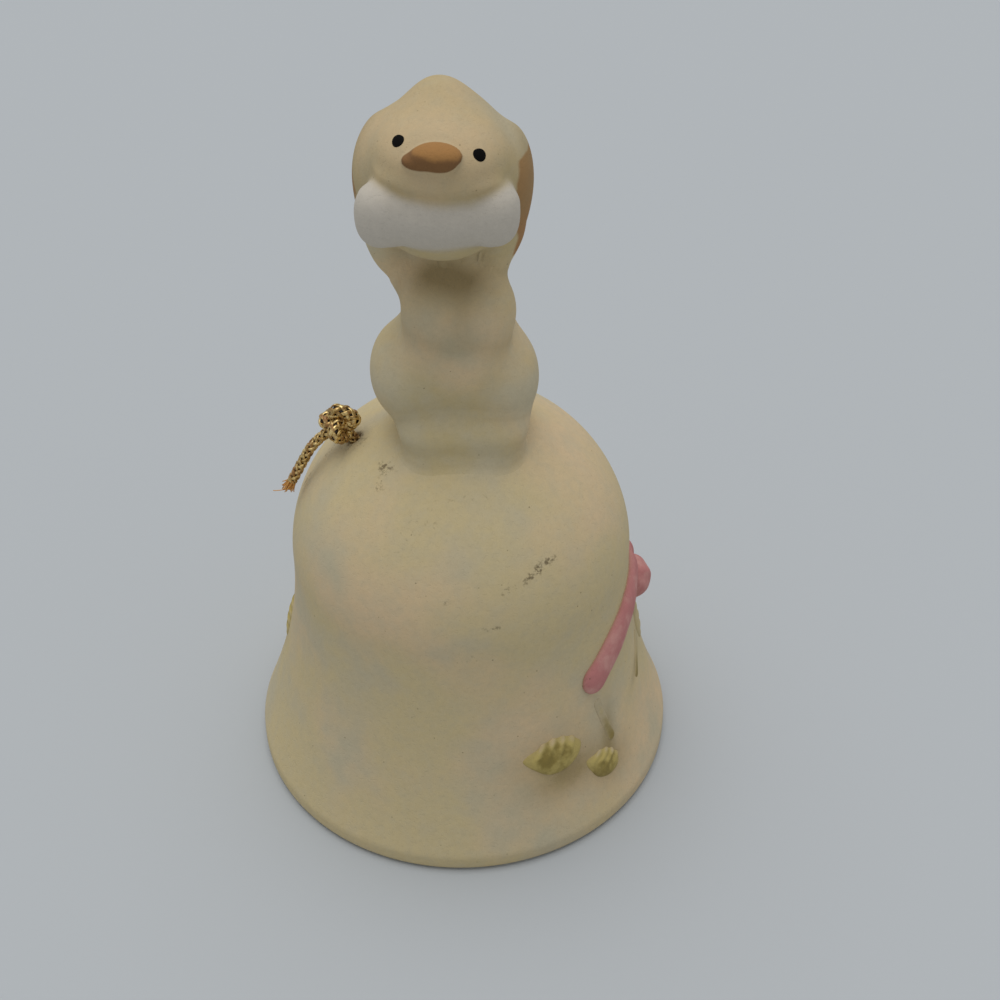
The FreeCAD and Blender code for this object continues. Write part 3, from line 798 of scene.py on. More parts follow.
def figure_masks(points):
    """Soft distances into each paint, in mm, and how much slip there is: that is where dirt settles and shade is
    painted in. More painted shade lies under the chin and over the head from the chin up, and painted light on
    the nose's top.
    """
    local = in_head(points)
    head, bone = from_head(points), from_bone(points)
    slip = from_figure(points)[1]
    ears = np.minimum(from_ear(1)(points), from_ear(-1)(points))
    height = np.clip(1 - np.square((local[:, 2] + 5.4) / 9.9), 0.05, 1)
    share = np.where(local[:, 0] > 0, 0.66, 0.94) + 0.04 * np.sin(local[:, 2] * 1.3)
    edge = 7.2 + share * 3.3 * np.sqrt(height)
    oval = 5.0 - 5.0 * np.hypot((local[:, 1] - 0.9) / 5.2, (local[:, 2] + 4.8) / 5.4)
    strip_ends = np.minimum(3.0 - local[:, 2], local[:, 2] + 11.4)
    ear = np.minimum(np.minimum(np.abs(local[:, 0]) - edge, 1.6 - ears),
                     np.where(local[:, 0] > 0, strip_ends, oval))
    # A brown patch under the chin: a stain, and the head's shadow on the chest painted in.
    under_chin = np.exp(-((local[:, 0] - 0.3) / 6.2) ** 4 - ((local[:, 2] + 12.0) / 2.9) ** 2)
    under_chin = under_chin * eased((-3.0 - local[:, 1]) / 3.0)
    # Painted shade: the head darkened from the chin up, but not on the bone.
    wear_and_shade = 0.34 * eased((local[:, 2] + 9.0) / 8.0) * eased(bone / 0.8 + 0.3)
    return {
        "bone_paint": np.clip(head - bone - 0.15, -3, 3),
        "ear_paint": np.clip(np.minimum(ear, bone - 0.4), -3, 3),
        "nose_paint": np.clip(head - from_nose(points) - 0.1, -3, 3),
        # Darker in the slip fillets, dirt with painted shade, and painted shade under the chin and over the head.
        "crease": np.clip(slip * 0.55 - 0.05, 0, 0.4) + 1.2 * under_chin + wear_and_shade,
        "smudge": 0.12 * under_chin,
        # Painted light: lighter paint towards the top of the nose, darker below.
        "tone": 0.8 * eased((local[:, 2] - 5.4) / 2.4) - 0.4,
    }


cast_plan = {                    # piece: rings, rays round, where the poles point, finish, slot
    "puppy_body": (150, 200, (0, 0, 1), "head_bisque", "bisque"),
    "puppy_head": (190, 240, (0, 0.25, 1), "head_bisque", "bisque"),
    "hind_feet": (80, 140, (1, 0, 0), "head_bisque", "bisque"),
    "foreleg_left": (90, 140, (0, 1, 0), "head_bisque", "bisque"),
    "foreleg_right": (90, 140, (0, 1, 0), "head_bisque", "bisque"),
    "ear_left": (130, 130, (-1, 0, 0), "head_bisque", "ear_paint"),
    "ear_right": (130, 130, (1, 0, 0), "head_bisque", "ear_paint"),
    "bone": (150, 120, (1, 0, 0), "head_bisque", "white_paint"),
    "nose": (110, 160, (0, 1, 0), "head_bisque", "brown_paint"),
    "puppy_tail": (70, 70, (1, 0.3, 0), "head_bisque", "bisque"),
}


def cast_centre(name):
    """A point well inside the piece, from which its whole skin is in sight."""
    centres = {
        "puppy_body": above_crown + (-0.2, 0.4, 12.0),
        "puppy_head": from_head_place((-0.2, -1.2, 0.6)),
        "hind_feet": above_crown + feet_centre,
        "foreleg_left": above_crown + foreleg_centres["left"],
        "foreleg_right": above_crown + foreleg_centres["right"],
        "ear_left": from_head_place(ear_centres[1]),
        "ear_right": from_head_place(ear_centres[-1]),
        "bone": from_head_place(bone_centre),
        "nose": from_head_place(nose_parts[0][1]),
        "puppy_tail": above_crown + tail_points[1],
    }
    return centres[name]


# %% Casting the puppy
fineness = 1.0
for name, (rings, around, pole, finish, slot) in cast_plan.items():
    rings, around = int(rings * fineness), int(around * fineness)
    centre, ways = cast_centre(name), directions(rings, around, pole)
    own, spread = figure[name]
    lengths = cast_out(own_skin(name), lambda places: own(places) - spread, centre, ways)
    points = centre + ways * lengths[:, None]
    normals = slope_of(lambda places: from_figure(places)[0], points)
    made = mesh_object(name + "_cast", points, *capped_faces(rings, around), figure_masks(points), normals)
    finished(made, name, finishes[finish])

# %% [markdown]
# ## The bell's skin
# The shell is one closed skin: down the outside, round the rim, up the inside and through the vent in the
# crown. The cord's hole could be cut with a Boolean, but that leaves long thin faces. Here a small block of
# cells is left out of the grid on each side, its border is drawn onto a circle, and a tube joins the two.

# %% The bell's skin
columns = 400                                    # round the bell
vent_radius = 1.5
hole_radius = 1.1
hole_azimuth = math.radians(-90.0)
hole_reach = 14.5                                # from the axis to the hole's outer mouth
lip_round = 1.1
foot_round = 0.6
half_block = (2, 5)                              # rows and columns on each side of the hole's centre


def spread_evenly(outline, spacing):
    """The same outline with points about that far apart; its last point is left out."""
    lengths = lengths_along(outline)
    count = max(2, int(round(lengths[-1] / spacing)))
    at = np.linspace(0, lengths[-1], count + 1)[:-1]
    return np.stack([np.interp(at, lengths, outline[:, axis]) for axis in (0, 1)], -1)


def wall_outline(inset, top_radius, base):
    """Radius and height down one face of the wall: ellipse, then flare, then upright to the base."""
    across, rise = waist_radius - inset, crown_height - waist_height - inset
    turn = np.linspace(math.asin(top_radius / across), math.pi / 2, 300)
    shoulder = np.stack([across * np.sin(turn), waist_height + rise * np.cos(turn)], -1)
    t = np.linspace(0, 1, 200)[1:]
    drop = waist_height - lip_height
    flare = np.stack([across + (mouth_radius - waist_radius) * t * t,
                      waist_height - 2 * flare_pull * t * (1 - t) - drop * t * t], -1)
    lip = np.array([[mouth_radius - inset, base]])
    return np.vstack([shoulder, flare, lip])


def arc(centre, radius, start, end, count):
    """Points on an arc in the outline's plane, from one angle to another, in degrees."""
    angle = np.radians(np.linspace(start, end, count))
    return np.stack([centre[0] + radius * np.cos(angle), centre[1] + radius * np.sin(angle)], -1)


outer = spread_evenly(wall_outline(0.0, vent_radius, lip_round), 0.55)
rim = np.vstack([arc((mouth_radius - lip_round, lip_round), lip_round, 0, -90, 9),
                 arc((mouth_radius - wall + foot_round, foot_round), foot_round, -90, -180, 6)])
inner = spread_evenly(wall_outline(wall, vent_radius, foot_round), 0.8)[::-1]
vent = np.stack([np.full(5, vent_radius), np.linspace(inner[-1, 1], outer[0, 1], 7)[1:-1]], -1)
outline = np.vstack([outer, rim, inner, vent])
rows = len(outline)
print("outline:", rows, "points, outside", len(outer), "inside", len(inner))


def drawn_to_hole(row_place, column_place, centre_row, centre_column, spacing):
    """Moves grid places near the hole: rings of cells become circles of the same rank, less so further out."""
    a = (row_place - centre_row) / half_block[0]
    b = (column_place - centre_column) / half_block[1]
    rank, length = np.maximum(np.abs(a), np.abs(b)), np.maximum(np.hypot(a, b), 1e-9)
    share = eased((3.2 - rank) / 2.2)
    round_row = centre_row + a / length * rank * hole_radius / spacing[0]
    round_column = centre_column + b / length * rank * hole_radius / spacing[1]
    return (row_place + share * (round_row - row_place), column_place + share * (round_column - column_place))


def nearest_row(radius, first, last):
    """The row of the outline between two rows whose radius is nearest, above the waist."""
    candidates = np.abs(outline[first:last, 0] - radius) + 100.0 * (outline[first:last, 1] < waist_height)
    return first + int(np.argmin(candidates))


def hole_places():
    """Row of the hole's centre in the outer and in the inner skin, along the wall's normal."""
    rise = crown_height - waist_height
    height = waist_height + rise * math.sqrt(1 - (hole_reach / waist_radius) ** 2)
    slope = (hole_reach / waist_radius ** 2) / ((height - waist_height) / rise ** 2)
    depth = wall / math.hypot(1.0, slope)
    return (nearest_row(hole_reach, 0, len(outer)),
            nearest_row(hole_reach - depth * slope, len(outer) + len(rim), rows))


def bell_points():
    """The grid of the skin in space, with the places round both mouths of the hole moved."""
    row_place, column_place = np.meshgrid(np.arange(rows, dtype=float), np.arange(columns, dtype=float),
                                          indexing="ij")
    centre_column = columns * 0.25
    for centre_row in hole_places():
        here = outline[centre_row]
        spacing = (np.linalg.norm(outline[centre_row + 1] - here), 2 * math.pi * here[0] / columns)
        row_place, column_place = drawn_to_hole(row_place, column_place, centre_row, centre_column, spacing)
    radius = np.interp(row_place, np.arange(rows), outline[:, 0])
    height = np.interp(row_place, np.arange(rows), outline[:, 1])
    azimuth = hole_azimuth - 2 * math.pi * (column_place - centre_column) / columns
    radius = radius + cast_waver(azimuth, height) * eased((radius - 4.0) / 10.0)
    return np.stack([radius * np.sin(azimuth), -radius * np.cos(azimuth), height], -1).reshape(-1, 3)


def block_border(centre_row, facing):
    """The ring of grid points round the left-out block, in order; facing -1 runs the rows the other way."""
    down, across = half_block
    steps = ([(-down, c) for c in range(-across, across)] + [(r, across) for r in range(-down, down)]
             + [(down, c) for c in range(across, -across, -1)] + [(r, -across) for r in range(down, -down, -1)])
    return np.array([(centre_row + facing * r) * columns + columns // 4 + c for r, c in steps])


def bell_faces():
    """All quads of the closed grid but those in the two blocks, with a tube of quads between their borders."""
    quads = grid_faces(rows, columns, wrap_rows=True)
    row, column = quads[:, 0] // columns, quads[:, 0] % columns
    kept = np.ones(len(quads), bool)
    for centre_row in hole_places():
        kept &= ~((np.abs(row + 0.5 - centre_row) < half_block[0])
                  & (np.abs(column + 0.5 - columns // 4) < half_block[1]))
    outside, inside = (block_border(row, facing) for row, facing in zip(hole_places(), (1, -1)))
    tube = np.stack([outside, np.roll(outside, -1), np.roll(inside, -1), inside], -1)
    return np.vstack([quads[kept], tube])


def without_loose(points, quads):
    """Drops the points that no face uses and renumbers the faces."""
    used = np.unique(quads)
    number = np.zeros(len(points), int)
    number[used] = np.arange(len(used))
    return points[used], number[quads]


# %% Stains on the bell
scuffs_and_knot_shadow = (                       # azimuth and height of the middle, half length and half width in mm, slant
    (15.0, 46.3, 1.3, 0.55, 10.0, 1.00),
    (23.5, 47.1, 1.6, 0.50, 25.0, 1.00),
    (29.5, 48.0, 1.8, 0.80, 15.0, 1.10),
    (34.6, 48.3, 0.9, 0.40, 0.0, 0.80),
    (9.0, 41.6, 1.8, 0.45, 0.0, 1.10),
    # Round the outside knot: real smudges, and the knot's shadow on the shell painted in.
    (-87.0, 55.8, 2.2, 1.6, 0.0, 0.75),
    (-93.0, 52.4, 1.5, 1.5, 0.0, 0.70),
    (-92.5, 47.5, 0.6, 2.2, 0.0, 0.90),
    (-51.0, 56.6, 1.7, 0.7, 0.0, 1.00),
    (-46.4, 55.2, 1.0, 0.5, 0.0, 0.80),
    (1.0, 37.5, 3.2, 1.5, 0.0, 0.30),
    (-5.0, 45.4, 0.8, 0.8, 30.0, 0.70),
    (-17.0, 53.6, 3.2, 1.8, 20.0, 0.45),
    (-22.0, 51.0, 2.5, 1.2, 0.0, 0.35),
    (5.0, 55.8, 4.0, 0.8, 0.0, 0.45),
    (-96.0, 14.0, 4.5, 5.0, 0.0, 0.55),
    (-93.0, 27.0, 2.0, 4.5, 0.0, 0.40),
    (150.0, 40.0, 5.0, 2.0, 25.0, 0.50),
    (-160.0, 22.0, 4.0, 3.0, 50.0, 0.40),
)
pigment_washes = (               # leaf paint bled into the clay: azimuth, height, half sizes, slant, strength
    (32.0, 12.4, 6.4, 3.2, 14.0, 1.2),
    (24.0, 16.5, 6.4, 4.0, 15.0, 0.7),
    (49.0, 15.0, 1.6, 4.6, -12.0, 0.9),
    (47.0, 9.6, 4.6, 3.4, 0.0, 1.0),
    (76.5, 17.8, 4.2, 0.9, 22.0, 1.3),
    (-97.0, 18.0, 3.0, 3.0, 0.0, 0.8),
    (118.0, 16.0, 2.0, 5.0, 10.0, 0.8),
    (141.0, 14.0, 4.5, 2.0, -20.0, 0.8),
)


def blot(points, azimuth, height, half_length, half_width, slant, strength):
    """A soft oval on the bell's skin: a bell curve of the distance along and across it."""
    along = (azimuth_of(points) - math.radians(azimuth) + math.pi) % (2 * math.pi) - math.pi
    x, z = along * bell_radius(math.radians(azimuth), height), points[:, 2] - height
    turn = math.radians(slant)
    u, v = x * math.cos(turn) + z * math.sin(turn), z * math.cos(turn) - x * math.sin(turn)
    return strength * np.exp(-(u / half_length) ** 2 - (v / half_width) ** 2)


def bell_masks(points):
    """Dirt, pigment and darkened creases of the bell's outside, with painted shade in the slip round the figure
    and the knot's shadow painted in among the smudges; the inside is clean.
    """
    reach = np.hypot(points[:, 0], points[:, 1])
    outside = eased((reach - bell_radius(azimuth_of(points), points[:, 2]) + 1.2) / 0.8)
    smudge = sum(blot(points, *mark) for mark in scuffs_and_knot_shadow) * outside
    wash = sum(blot(points, *place) for place in pigment_washes) * outside
    # The slip round the figure's foot is darkened: dirt, and painted shade.
    crease = np.clip(from_figure(points)[1] * 0.9 - 0.05, 0, 0.5) * outside
    return {"smudge": np.clip(smudge, 0, 1), "leaf_paint": wash * 0.9 - 1.25, "crease": crease + 0.75 * wash,
            "tone": np.zeros(len(points))}


shell_points, shell_quads = without_loose(bell_points(), bell_faces())
shell = mesh_object("bell_shell_cast", shell_points, shell_quads, masks=bell_masks(shell_points))
finished(shell, "bell_shell", finishes["bisque"])

# %% [markdown]
# ## Eyes
# The eyes are two drops of black paint. A drop could be a dark spot in the face's colour, but a painted drop
# stands a little proud and has a crisp edge, so each is a thin lens that lies on the face.

# %% Eyes
eye_ways = {"left": (26.7, 30.8), "right": (-29.7, 35.3)}     # azimuth and elevation from the head's centre
eye_radius = 0.80
eye_proud = 0.10


def way_in_head(azimuth, elevation):
    """The direction to that azimuth and elevation in the head's own frame."""
    turn, rise = math.radians(azimuth), math.radians(elevation)
    local = np.array([math.sin(turn) * math.cos(rise), -math.cos(turn) * math.cos(rise), math.sin(rise)])
    return local @ head_tilt.T


def painted_dot(azimuth, elevation):
    """A lens on the head: rings of rays round the direction of the eye, each point cast onto the face from the
    head's centre and lifted most in the middle."""
    rings, around = 12, 40
    share, turn = np.meshgrid(np.linspace(0, np.pi, rings + 2)[1:-1],
                              np.linspace(0, 2 * np.pi, around, endpoint=False), indexing="ij")
    centre, ahead = from_head_place((0, 0, 0)), way_in_head(azimuth, elevation)
    solid = (lambda places: from_figure(places)[0], lambda places: from_head(places) - 1.0)
    away = cast_out(*solid, centre, ahead[None])[0]
    side = unit(np.cross(ahead, (0.0, 0.0, 1.0)))
    above = np.cross(side, ahead)
    reach = np.sin(share) * eye_radius / away * (1.0 + 0.05 * np.sin(2 * turn + 1.0) + 0.03 * np.sin(3 * turn))
    spread = (reach * np.cos(turn))[..., None] * side + (reach * np.sin(turn))[..., None] * above
    ways = unit(ahead + np.vstack([np.zeros((1, 3)), spread.reshape(-1, 3), np.zeros((1, 3))]))
    lift = np.concatenate([[1.0], np.cos(share).ravel(), [-1.0]]) * eye_proud
    return centre + ways * (cast_out(*solid, centre, ways) + lift)[:, None], capped_faces(rings, around)


def eye_paint():
    """Black paint: matt, faintly brown, with a slight satin where it dried thick."""
    made, tree, shader = bare_material("eye_paint")
    patchy = noise(tree, object_place(tree), 2400.0, 3.0, 0.6)
    colour = mixed(tree, patchy, (0.002, 0.002, 0.002, 1.0), (0.006, 0.005, 0.004, 1.0))
    tree.links.new(colour, shader.inputs["Base Color"])
    tree.links.new(maths(tree, "ADD", maths(tree, "MULTIPLY", patchy, 0.25), 0.50), shader.inputs["Roughness"])
    shader.inputs["Specular IOR Level"].default_value = 0.05
    return made


finishes["eye_paint"] = eye_paint()
for side, way in eye_ways.items():
    points, faces = painted_dot(*way)
    finished(mesh_object("eye_" + side, points, *faces), None, finishes["eye_paint"])

# %% [markdown]
# ## Sprigs
# The ribbon, stems and leaves are pressed in small moulds and laid on the shell while both are soft. They could
# be flat cut-outs with a bump map, but a sprig has a real swelling form with a root in the wall. Each is drawn
# on the bell's skin as if it were unrolled, in millimetres across and up, and lifted off by a height formula.


# %% Drawing on the bell
def laid_on_bell(across, up, lift, azimuth, height):
    """Points drawn on the unrolled skin round a place, in millimetres, put on the bell and lifted off it."""
    radius = bell_radius(math.radians(azimuth), height)
    return on_bell(azimuth + np.degrees(across / radius), height + up, lift)


def sprig_masks(points, **paint):
    """The masks of a sprig: its paint, no smudges, and a darkening where it meets the bell, dirt with painted
    shade.
    """
    none = np.zeros(len(points))
    return {"crease": np.clip(0.45 - from_bell(points), 0, 0.5), "smudge": none, "tone": none, **paint}


def add_sprig(name, points, faces, finish, slot, **paint):
    """Makes a sprig's mesh with its paint and puts it in the place of its solid."""
    made = mesh_object(name + "_sprig", points, *faces, sprig_masks(points, **paint))
    finished(made, name, finishes[finish])


# %% [markdown]
# ### Ribbon
# A ribbon's tail is a low round strip that follows a line over the shell. The line is a polynomial through its
# places, and the section a half ellipse with a shallow root; both ends are rounded like a pressed strip's.

# %% Ribbon tails and stems
bow_azimuth, bow_height = 98.0, 30.0
ribbon_half_width, ribbon_rise, ribbon_taper = 2.45, 1.15, 0.25
ribbon_routes = {                # along the shell, in degrees from the bow, and up from it in mm
    "ribbon_tail_front": ((-6.0, 1.4), (-25.0, 0.2), (-41.0, -2.5), (-56.2, -6.3)),
    "ribbon_tail_back": ((3.5, 1.8), (19.0, 0.8), (32.0, -3.2), (43.5, -9.2)),
}
stem_half_width, stem_rise = 0.75, 0.14
stem_routes = {                  # azimuth and height
    "stem_front": ((46.0, 21.0), (48.0, 16.8), (50.0, 12.6)),
    "stem_middle": ((82.0, 20.6), (77.0, 18.0), (71.5, 15.4)),
    "stem_back": ((112.0, 22.0), (115.0, 18.5), (117.0, 15.0)),
}
root_depth = 0.5


def smooth_route(places, count):
    """A polynomial through the places, evenly paced, as azimuth and height."""
    places = np.array(places)
    pace = np.linspace(0, 1, len(places))
    at = np.linspace(0, 1, count)
    return np.stack([np.polyval(np.polyfit(pace, places[:, axis], len(places) - 1), at) for axis in (0, 1)], -1)


def strip(places, half_width, rise, taper=0.0, rings=90, around=28):
    """A round-ended strip: rings of an ellipse along the route, flatter below, shrinking like a circle's chord
    at both ends. Returns points, faces and each point's height as a share of the rise."""
    route = smooth_route(places, 400)
    radius = bell_radius(np.radians(route[:, 0]), route[:, 1])
    flat = np.stack([np.radians(route[:, 0]) * radius.mean(), route[:, 1]], -1)
    lengths = lengths_along(flat)
    total = lengths[-1]
    denser_ends = (1 - np.cos(np.linspace(0, np.pi, rings + 2))) / 2
    at = denser_ends * total * 0.35 + np.linspace(0, total, rings + 2) * 0.65
    middle = np.stack([np.interp(at, lengths, route[:, axis]) for axis in (0, 1)], -1)
    along = np.gradient(np.stack([np.interp(at, lengths, flat[:, axis]) for axis in (0, 1)], -1), axis=0)
    along /= np.linalg.norm(along, axis=1)[:, None]
    from_end = np.minimum(at, total - at)
    swell = np.sqrt(np.clip(1 - (1 - np.minimum(from_end / half_width, 1)) ** 2, 0, 1))
    swell = swell * (1 + 0.02 * np.sin(at * 0.9)) * (1 + taper * (1 - at / total))
    turn = np.linspace(0, 2 * np.pi, around, endpoint=False)
    across = half_width * swell[:, None] * np.cos(turn)
    share = np.where(np.sin(turn) > 0, np.abs(np.sin(turn)) ** 0.9, -np.abs(np.sin(turn)))
    lift = swell[:, None] * np.where(share > 0, rise * share, root_depth * share)
    azimuth = middle[:, :1] - np.degrees(across * along[:, 1:] / radius.mean())
    height = middle[:, 1:] + across * along[:, :1]
    every = pole_to_pole(on_bell(azimuth, height, lift))
    height_share = pole_to_pole(np.broadcast_to(share, across.shape))
    height_share[[0, -1]] = 0.0
    return every, capped_faces(rings, around), height_share


for name, offsets in ribbon_routes.items():
    route = [(bow_azimuth + along, bow_height + up) for along, up in offsets]
    points, faces, share = strip(route, ribbon_half_width, ribbon_rise, ribbon_taper)
    add_sprig(name, points, faces, "sprig_ribbon", "pink_paint", ribbon_paint=share * 1.6 - 0.05)
for name, route in stem_routes.items():
    points, faces, share = strip(route, stem_half_width, stem_rise, rings=50, around=16)
    faded = eased((points[:, 2] - route[-1][1]) / (route[0][1] - route[-1][1]))
    add_sprig(name, points, faces, "sprig_leaf", "green_paint",
              leaf_paint=share * 0.7 - 0.25 - 0.9 * faded, tone=0.5 * faded - 0.2)

# %% [markdown]
# ### Leaves and bow
# Leaves and bow loops are pillows: an outline swept round a middle, highest inside, with a root below. A leaf
# has a scalloped edge and slanting flutes between its veins; a loop is full, with two faint folds.

# %% Leaves and bow
leaf_radii = (0.72, 2.3, 3.5)    # rise, half width and half length
leaf_places = {                  # azimuth, height, slant of the length from upright, size, flutes, their bend
    "leaf_front_outer": (27.2, 16.2, 82.0, 1.25, 4.0, 0.75),
    "leaf_front_inner": (43.9, 10.5, 58.0, 0.95, 3.5, 1.1),
    "leaf_side": (92.0, 19.6, -4.0, 1.2, 4.0, 0.6),
    "leaf_back_inner": (118.0, 11.0, -40.0, 0.9, 3.5, 0.8),
    "leaf_back_outer": (141.5, 14.8, -60.0, 1.2, 4.5, 0.6),
    "leaf_far_upper": (-97.0, 19.5, 16.0, 1.0, 4.0, 0.6),
    "leaf_far_lower": (-112.0, 13.0, 52.0, 1.1, 4.0, 0.7),
}
bow_knot = (2.6, 2.6, 1.5)       # half width, half height and rise
bow_loops = {                    # offset along the bell, drop, half width, half length, rise, slant
    "front": (-3.0, 2.0, 3.4, 4.4, 3.4, 30.0),
    "back": (3.6, 3.6, 3.0, 3.8, 1.3, -50.0),
}


def pillow(azimuth, height, slant, half_width, half_length, profile, rings=60, around=120):
    """A pillow on the bell. Its grid is polar: a share from the middle of the top over the edge to the middle
    of the root, and the direction. profile gives outline factor and lift from the place inside the outline."""
    share, turn = np.meshgrid(np.linspace(0, np.pi, rings + 2), np.linspace(0, 2 * np.pi, around, endpoint=False),
                              indexing="ij")
    out = np.sin(share)
    u, v = out * np.cos(turn), out * np.sin(turn)
    outline_factor, top, tone = profile(u, v, turn)
    x, z = half_width * v * outline_factor, half_length * u * outline_factor
    lift = np.where(np.cos(share) > 0, top, root_depth * np.cos(share))
    angle = math.radians(slant)
    across, up = x * math.cos(angle) - z * math.sin(angle), z * math.cos(angle) + x * math.sin(angle)
    points = laid_on_bell(across, up, lift, azimuth, height)
    return pole_to_pole(points), capped_faces(rings, around), pole_to_pole(tone)


def leaf_profile(rise, flutes, bend):
    """Height and paint of a leaf like a half-open fan: drawn out to a point at u = 1, fluted across towards its
    far edge, whose outline is scalloped. The flutes start at the rib along the near edge, at v = -1."""
    def profile(u, v, turn):
        from_rib = (v + 1.0) / 2.0
        phase = np.pi * flutes * (0.62 * u + bend * 0.28 * from_rib ** 1.5)
        ridge = 0.5 + 0.5 * np.cos(2.0 * phase)
        fan = eased(from_rib * 1.5 - 0.15)
        dome = np.maximum(1 - u * u - v * v, 0) ** 0.6
        top = rise * dome * (0.70 + 0.28 * fan * ridge - 0.08 * fan)
        point = np.clip(u, 0, 1)
        factor = (1.0 - 0.30 * point ** 1.5 * np.abs(np.sin(turn)) + 0.12 * point ** 8
                  + 0.07 * fan * (ridge - 0.5) + 0.10 * eased(-u) * fan)
        tips = eased((from_rib - 0.55) * 2.6) * ridge
        return factor, top, 0.9 - 0.65 * tips - 0.5 * eased((np.hypot(u, v) - 0.55) * 2.4) * fan
    return profile


def loop_profile(rise):
    """Height of a bow loop: a smooth swelling, fullest towards its hanging end, with two faint folds that fan
    out of the knot, at u = 1."""
    def profile(u, v, turn):
        dome = np.maximum(1 - u * u - v * v, 0) ** 0.5
        folds = 0.05 * np.cos(2.6 * np.pi * v) * eased((u + 0.6) / 1.2)
        full = 1.0 + 0.12 * np.sin(-1.4 * u)
        factor = 1.0 - 0.14 * eased(u)
        return factor, rise * dome * (full + folds), np.ones_like(u)
    return profile


def knot_profile(rise):
    """Height of the bow's knot: a full dome with two upright creases."""
    def profile(u, v, turn):
        dome = np.maximum(1 - u * u - v * v, 0) ** 0.42
        creases = 0.07 * np.cos(2.6 * np.pi * v)
        return np.ones_like(u), rise * dome * (1 + creases), np.ones_like(u)
    return profile


for name, (azimuth, height, slant, size, flutes, bend) in leaf_places.items():
    rise, half_width, half_length = (radius * size for radius in leaf_radii)
    points, faces, tone = pillow(azimuth, height, slant, half_width, half_length,
                                 leaf_profile(rise, flutes, bend))
    faint = 1.2 if name == "leaf_side" else 0.0
    add_sprig(name, points, faces, "sprig_leaf", "green_paint", leaf_paint=tone - faint, tone=0.35 - 0.3 * tone)
for name, (offset, drop, half_width, half_length, rise, slant) in bow_loops.items():
    turn = math.degrees(offset / bell_radius(math.radians(bow_azimuth), bow_height))
    points, faces, tone = pillow(bow_azimuth + turn, bow_height - drop, slant, half_width, half_length,
                                 loop_profile(rise))
    add_sprig("ribbon_bow_loop_" + name, points, faces, "sprig_ribbon", "pink_paint", ribbon_paint=tone)
points, faces, tone = pillow(bow_azimuth, bow_height, 0.0, bow_knot[0], bow_knot[1], knot_profile(bow_knot[2]))
add_sprig("ribbon_bow_knot", points, faces, "sprig_ribbon", "pink_paint", ribbon_paint=tone)

# %% [markdown]
# ## The cord
# The cord is a round braid of flat metallic strands over a core, coloured near black as painted shade for the
# gaps between them. A texture of a braid on a tube looks printed on at this size. So the strands are modelled:
# half of them wind one way, half the other, and each rises over every second strand that it meets. They follow a
# smooth line through the cord's own route.

# %% The cord's lines
cord_diameter = 1.6
cord_radius = cord_diameter / 2
knot_low, knot_high = box_mm("knot_outside")
knot_centre = (knot_low + knot_high) / 2
tail_steps = ((-3.6, 0.0, -2.4), (-6.1, -0.1, -7.0), (-8.4, -0.3, -11.4))
link_low, link_high = box_mm("cord_link")
cord_x = (link_low[0] + link_high[0]) / 2
upper_pivot = np.array([cord_x, 0.0, link_high[2] - cord_radius])
lower_pivot = np.array([cord_x, 0.0, box_mm("clapper_cord")[1][2] - cord_radius])
link_middle = (upper_pivot + lower_pivot) / 2
stop_low, stop_high = box_mm("stop_knot")
stop_centre = (stop_low + stop_high) / 2
cord_end_low = box_mm("cord_end_below_bead")[0]
bead_low, bead_high = box_mm("clapper_bead")
bead_radius = (bead_high[0] - bead_low[0]) / 2
bead_centre = np.array([(bead_low[0] + bead_high[0]) / 2, 0.0, bead_high[2] - bead_radius])


def hole_axis():
    """The hole's outer mouth and its direction out of the bell, along the shoulder's normal."""
    rise = crown_height - waist_height
    height = waist_height + rise * math.sqrt(1 - (hole_reach / waist_radius) ** 2)
    out = np.array([-hole_reach / waist_radius ** 2, 0.0, (height - waist_height) / rise ** 2])
    return np.array([-hole_reach, 0.0, height]), out / np.linalg.norm(out)


hole_mouth, hole_out = hole_axis()
turn_corner = hole_mouth + hole_out * (cord_x + hole_reach) / hole_out[0]


def smooth_line(route, spacing=0.12):
    """Evenly spaced points on a smooth curve whose control points are the route, all in millimetres."""
    data = bpy.data.curves.new("route", "CURVE")
    data.dimensions = "3D"
    spline = data.splines.new("NURBS")
    spline.points.add(len(route) - 1)
    for point, place in zip(spline.points, route):
        point.co = (*(float(value) for value in place), 1.0)
    spline.order_u = 3
    spline.use_endpoint_u = True
    spline.resolution_u = 24
    holder = bpy.data.objects.new("route", data)
    line = bpy.data.meshes.new_from_object(holder)
    points = np.array([vertex.co for vertex in line.vertices])
    for thing, store in ((holder, bpy.data.objects), (line, bpy.data.meshes), (data, bpy.data.curves)):
        store.remove(thing)
    return evenly(points, spacing)


def evenly(points, spacing):
    """The same line with points that far apart."""
    lengths = lengths_along(points)
    count = max(4, int(round(lengths[-1] / spacing)))
    at = np.linspace(0, lengths[-1], count + 1)
    return np.stack([np.interp(at, lengths, points[:, axis]) for axis in range(3)], -1)


def line_length(points):
    """Length of a line of points."""
    return float(np.linalg.norm(np.diff(points, axis=0), axis=1).sum())


def across_line(points, towards):
    """Along, and two directions across a line, the first one kept facing a fixed direction or set of them."""
    along = unit(np.gradient(points, axis=0))
    towards = np.broadcast_to(np.asarray(towards, float), points.shape)
    first = unit(towards - np.sum(towards * along, -1, keepdims=True) * along)
    return along, first, np.cross(along, first)


# %% Tubes and braids
strand_count = 4                 # each way
braid_pitch = 4.6                # one turn of a strand
strand_half = (0.24, 0.13)       # half width and half thickness
weave = 0.095                    # how far a strand rises and sinks
core_share = 0.60                # of the cord's radius


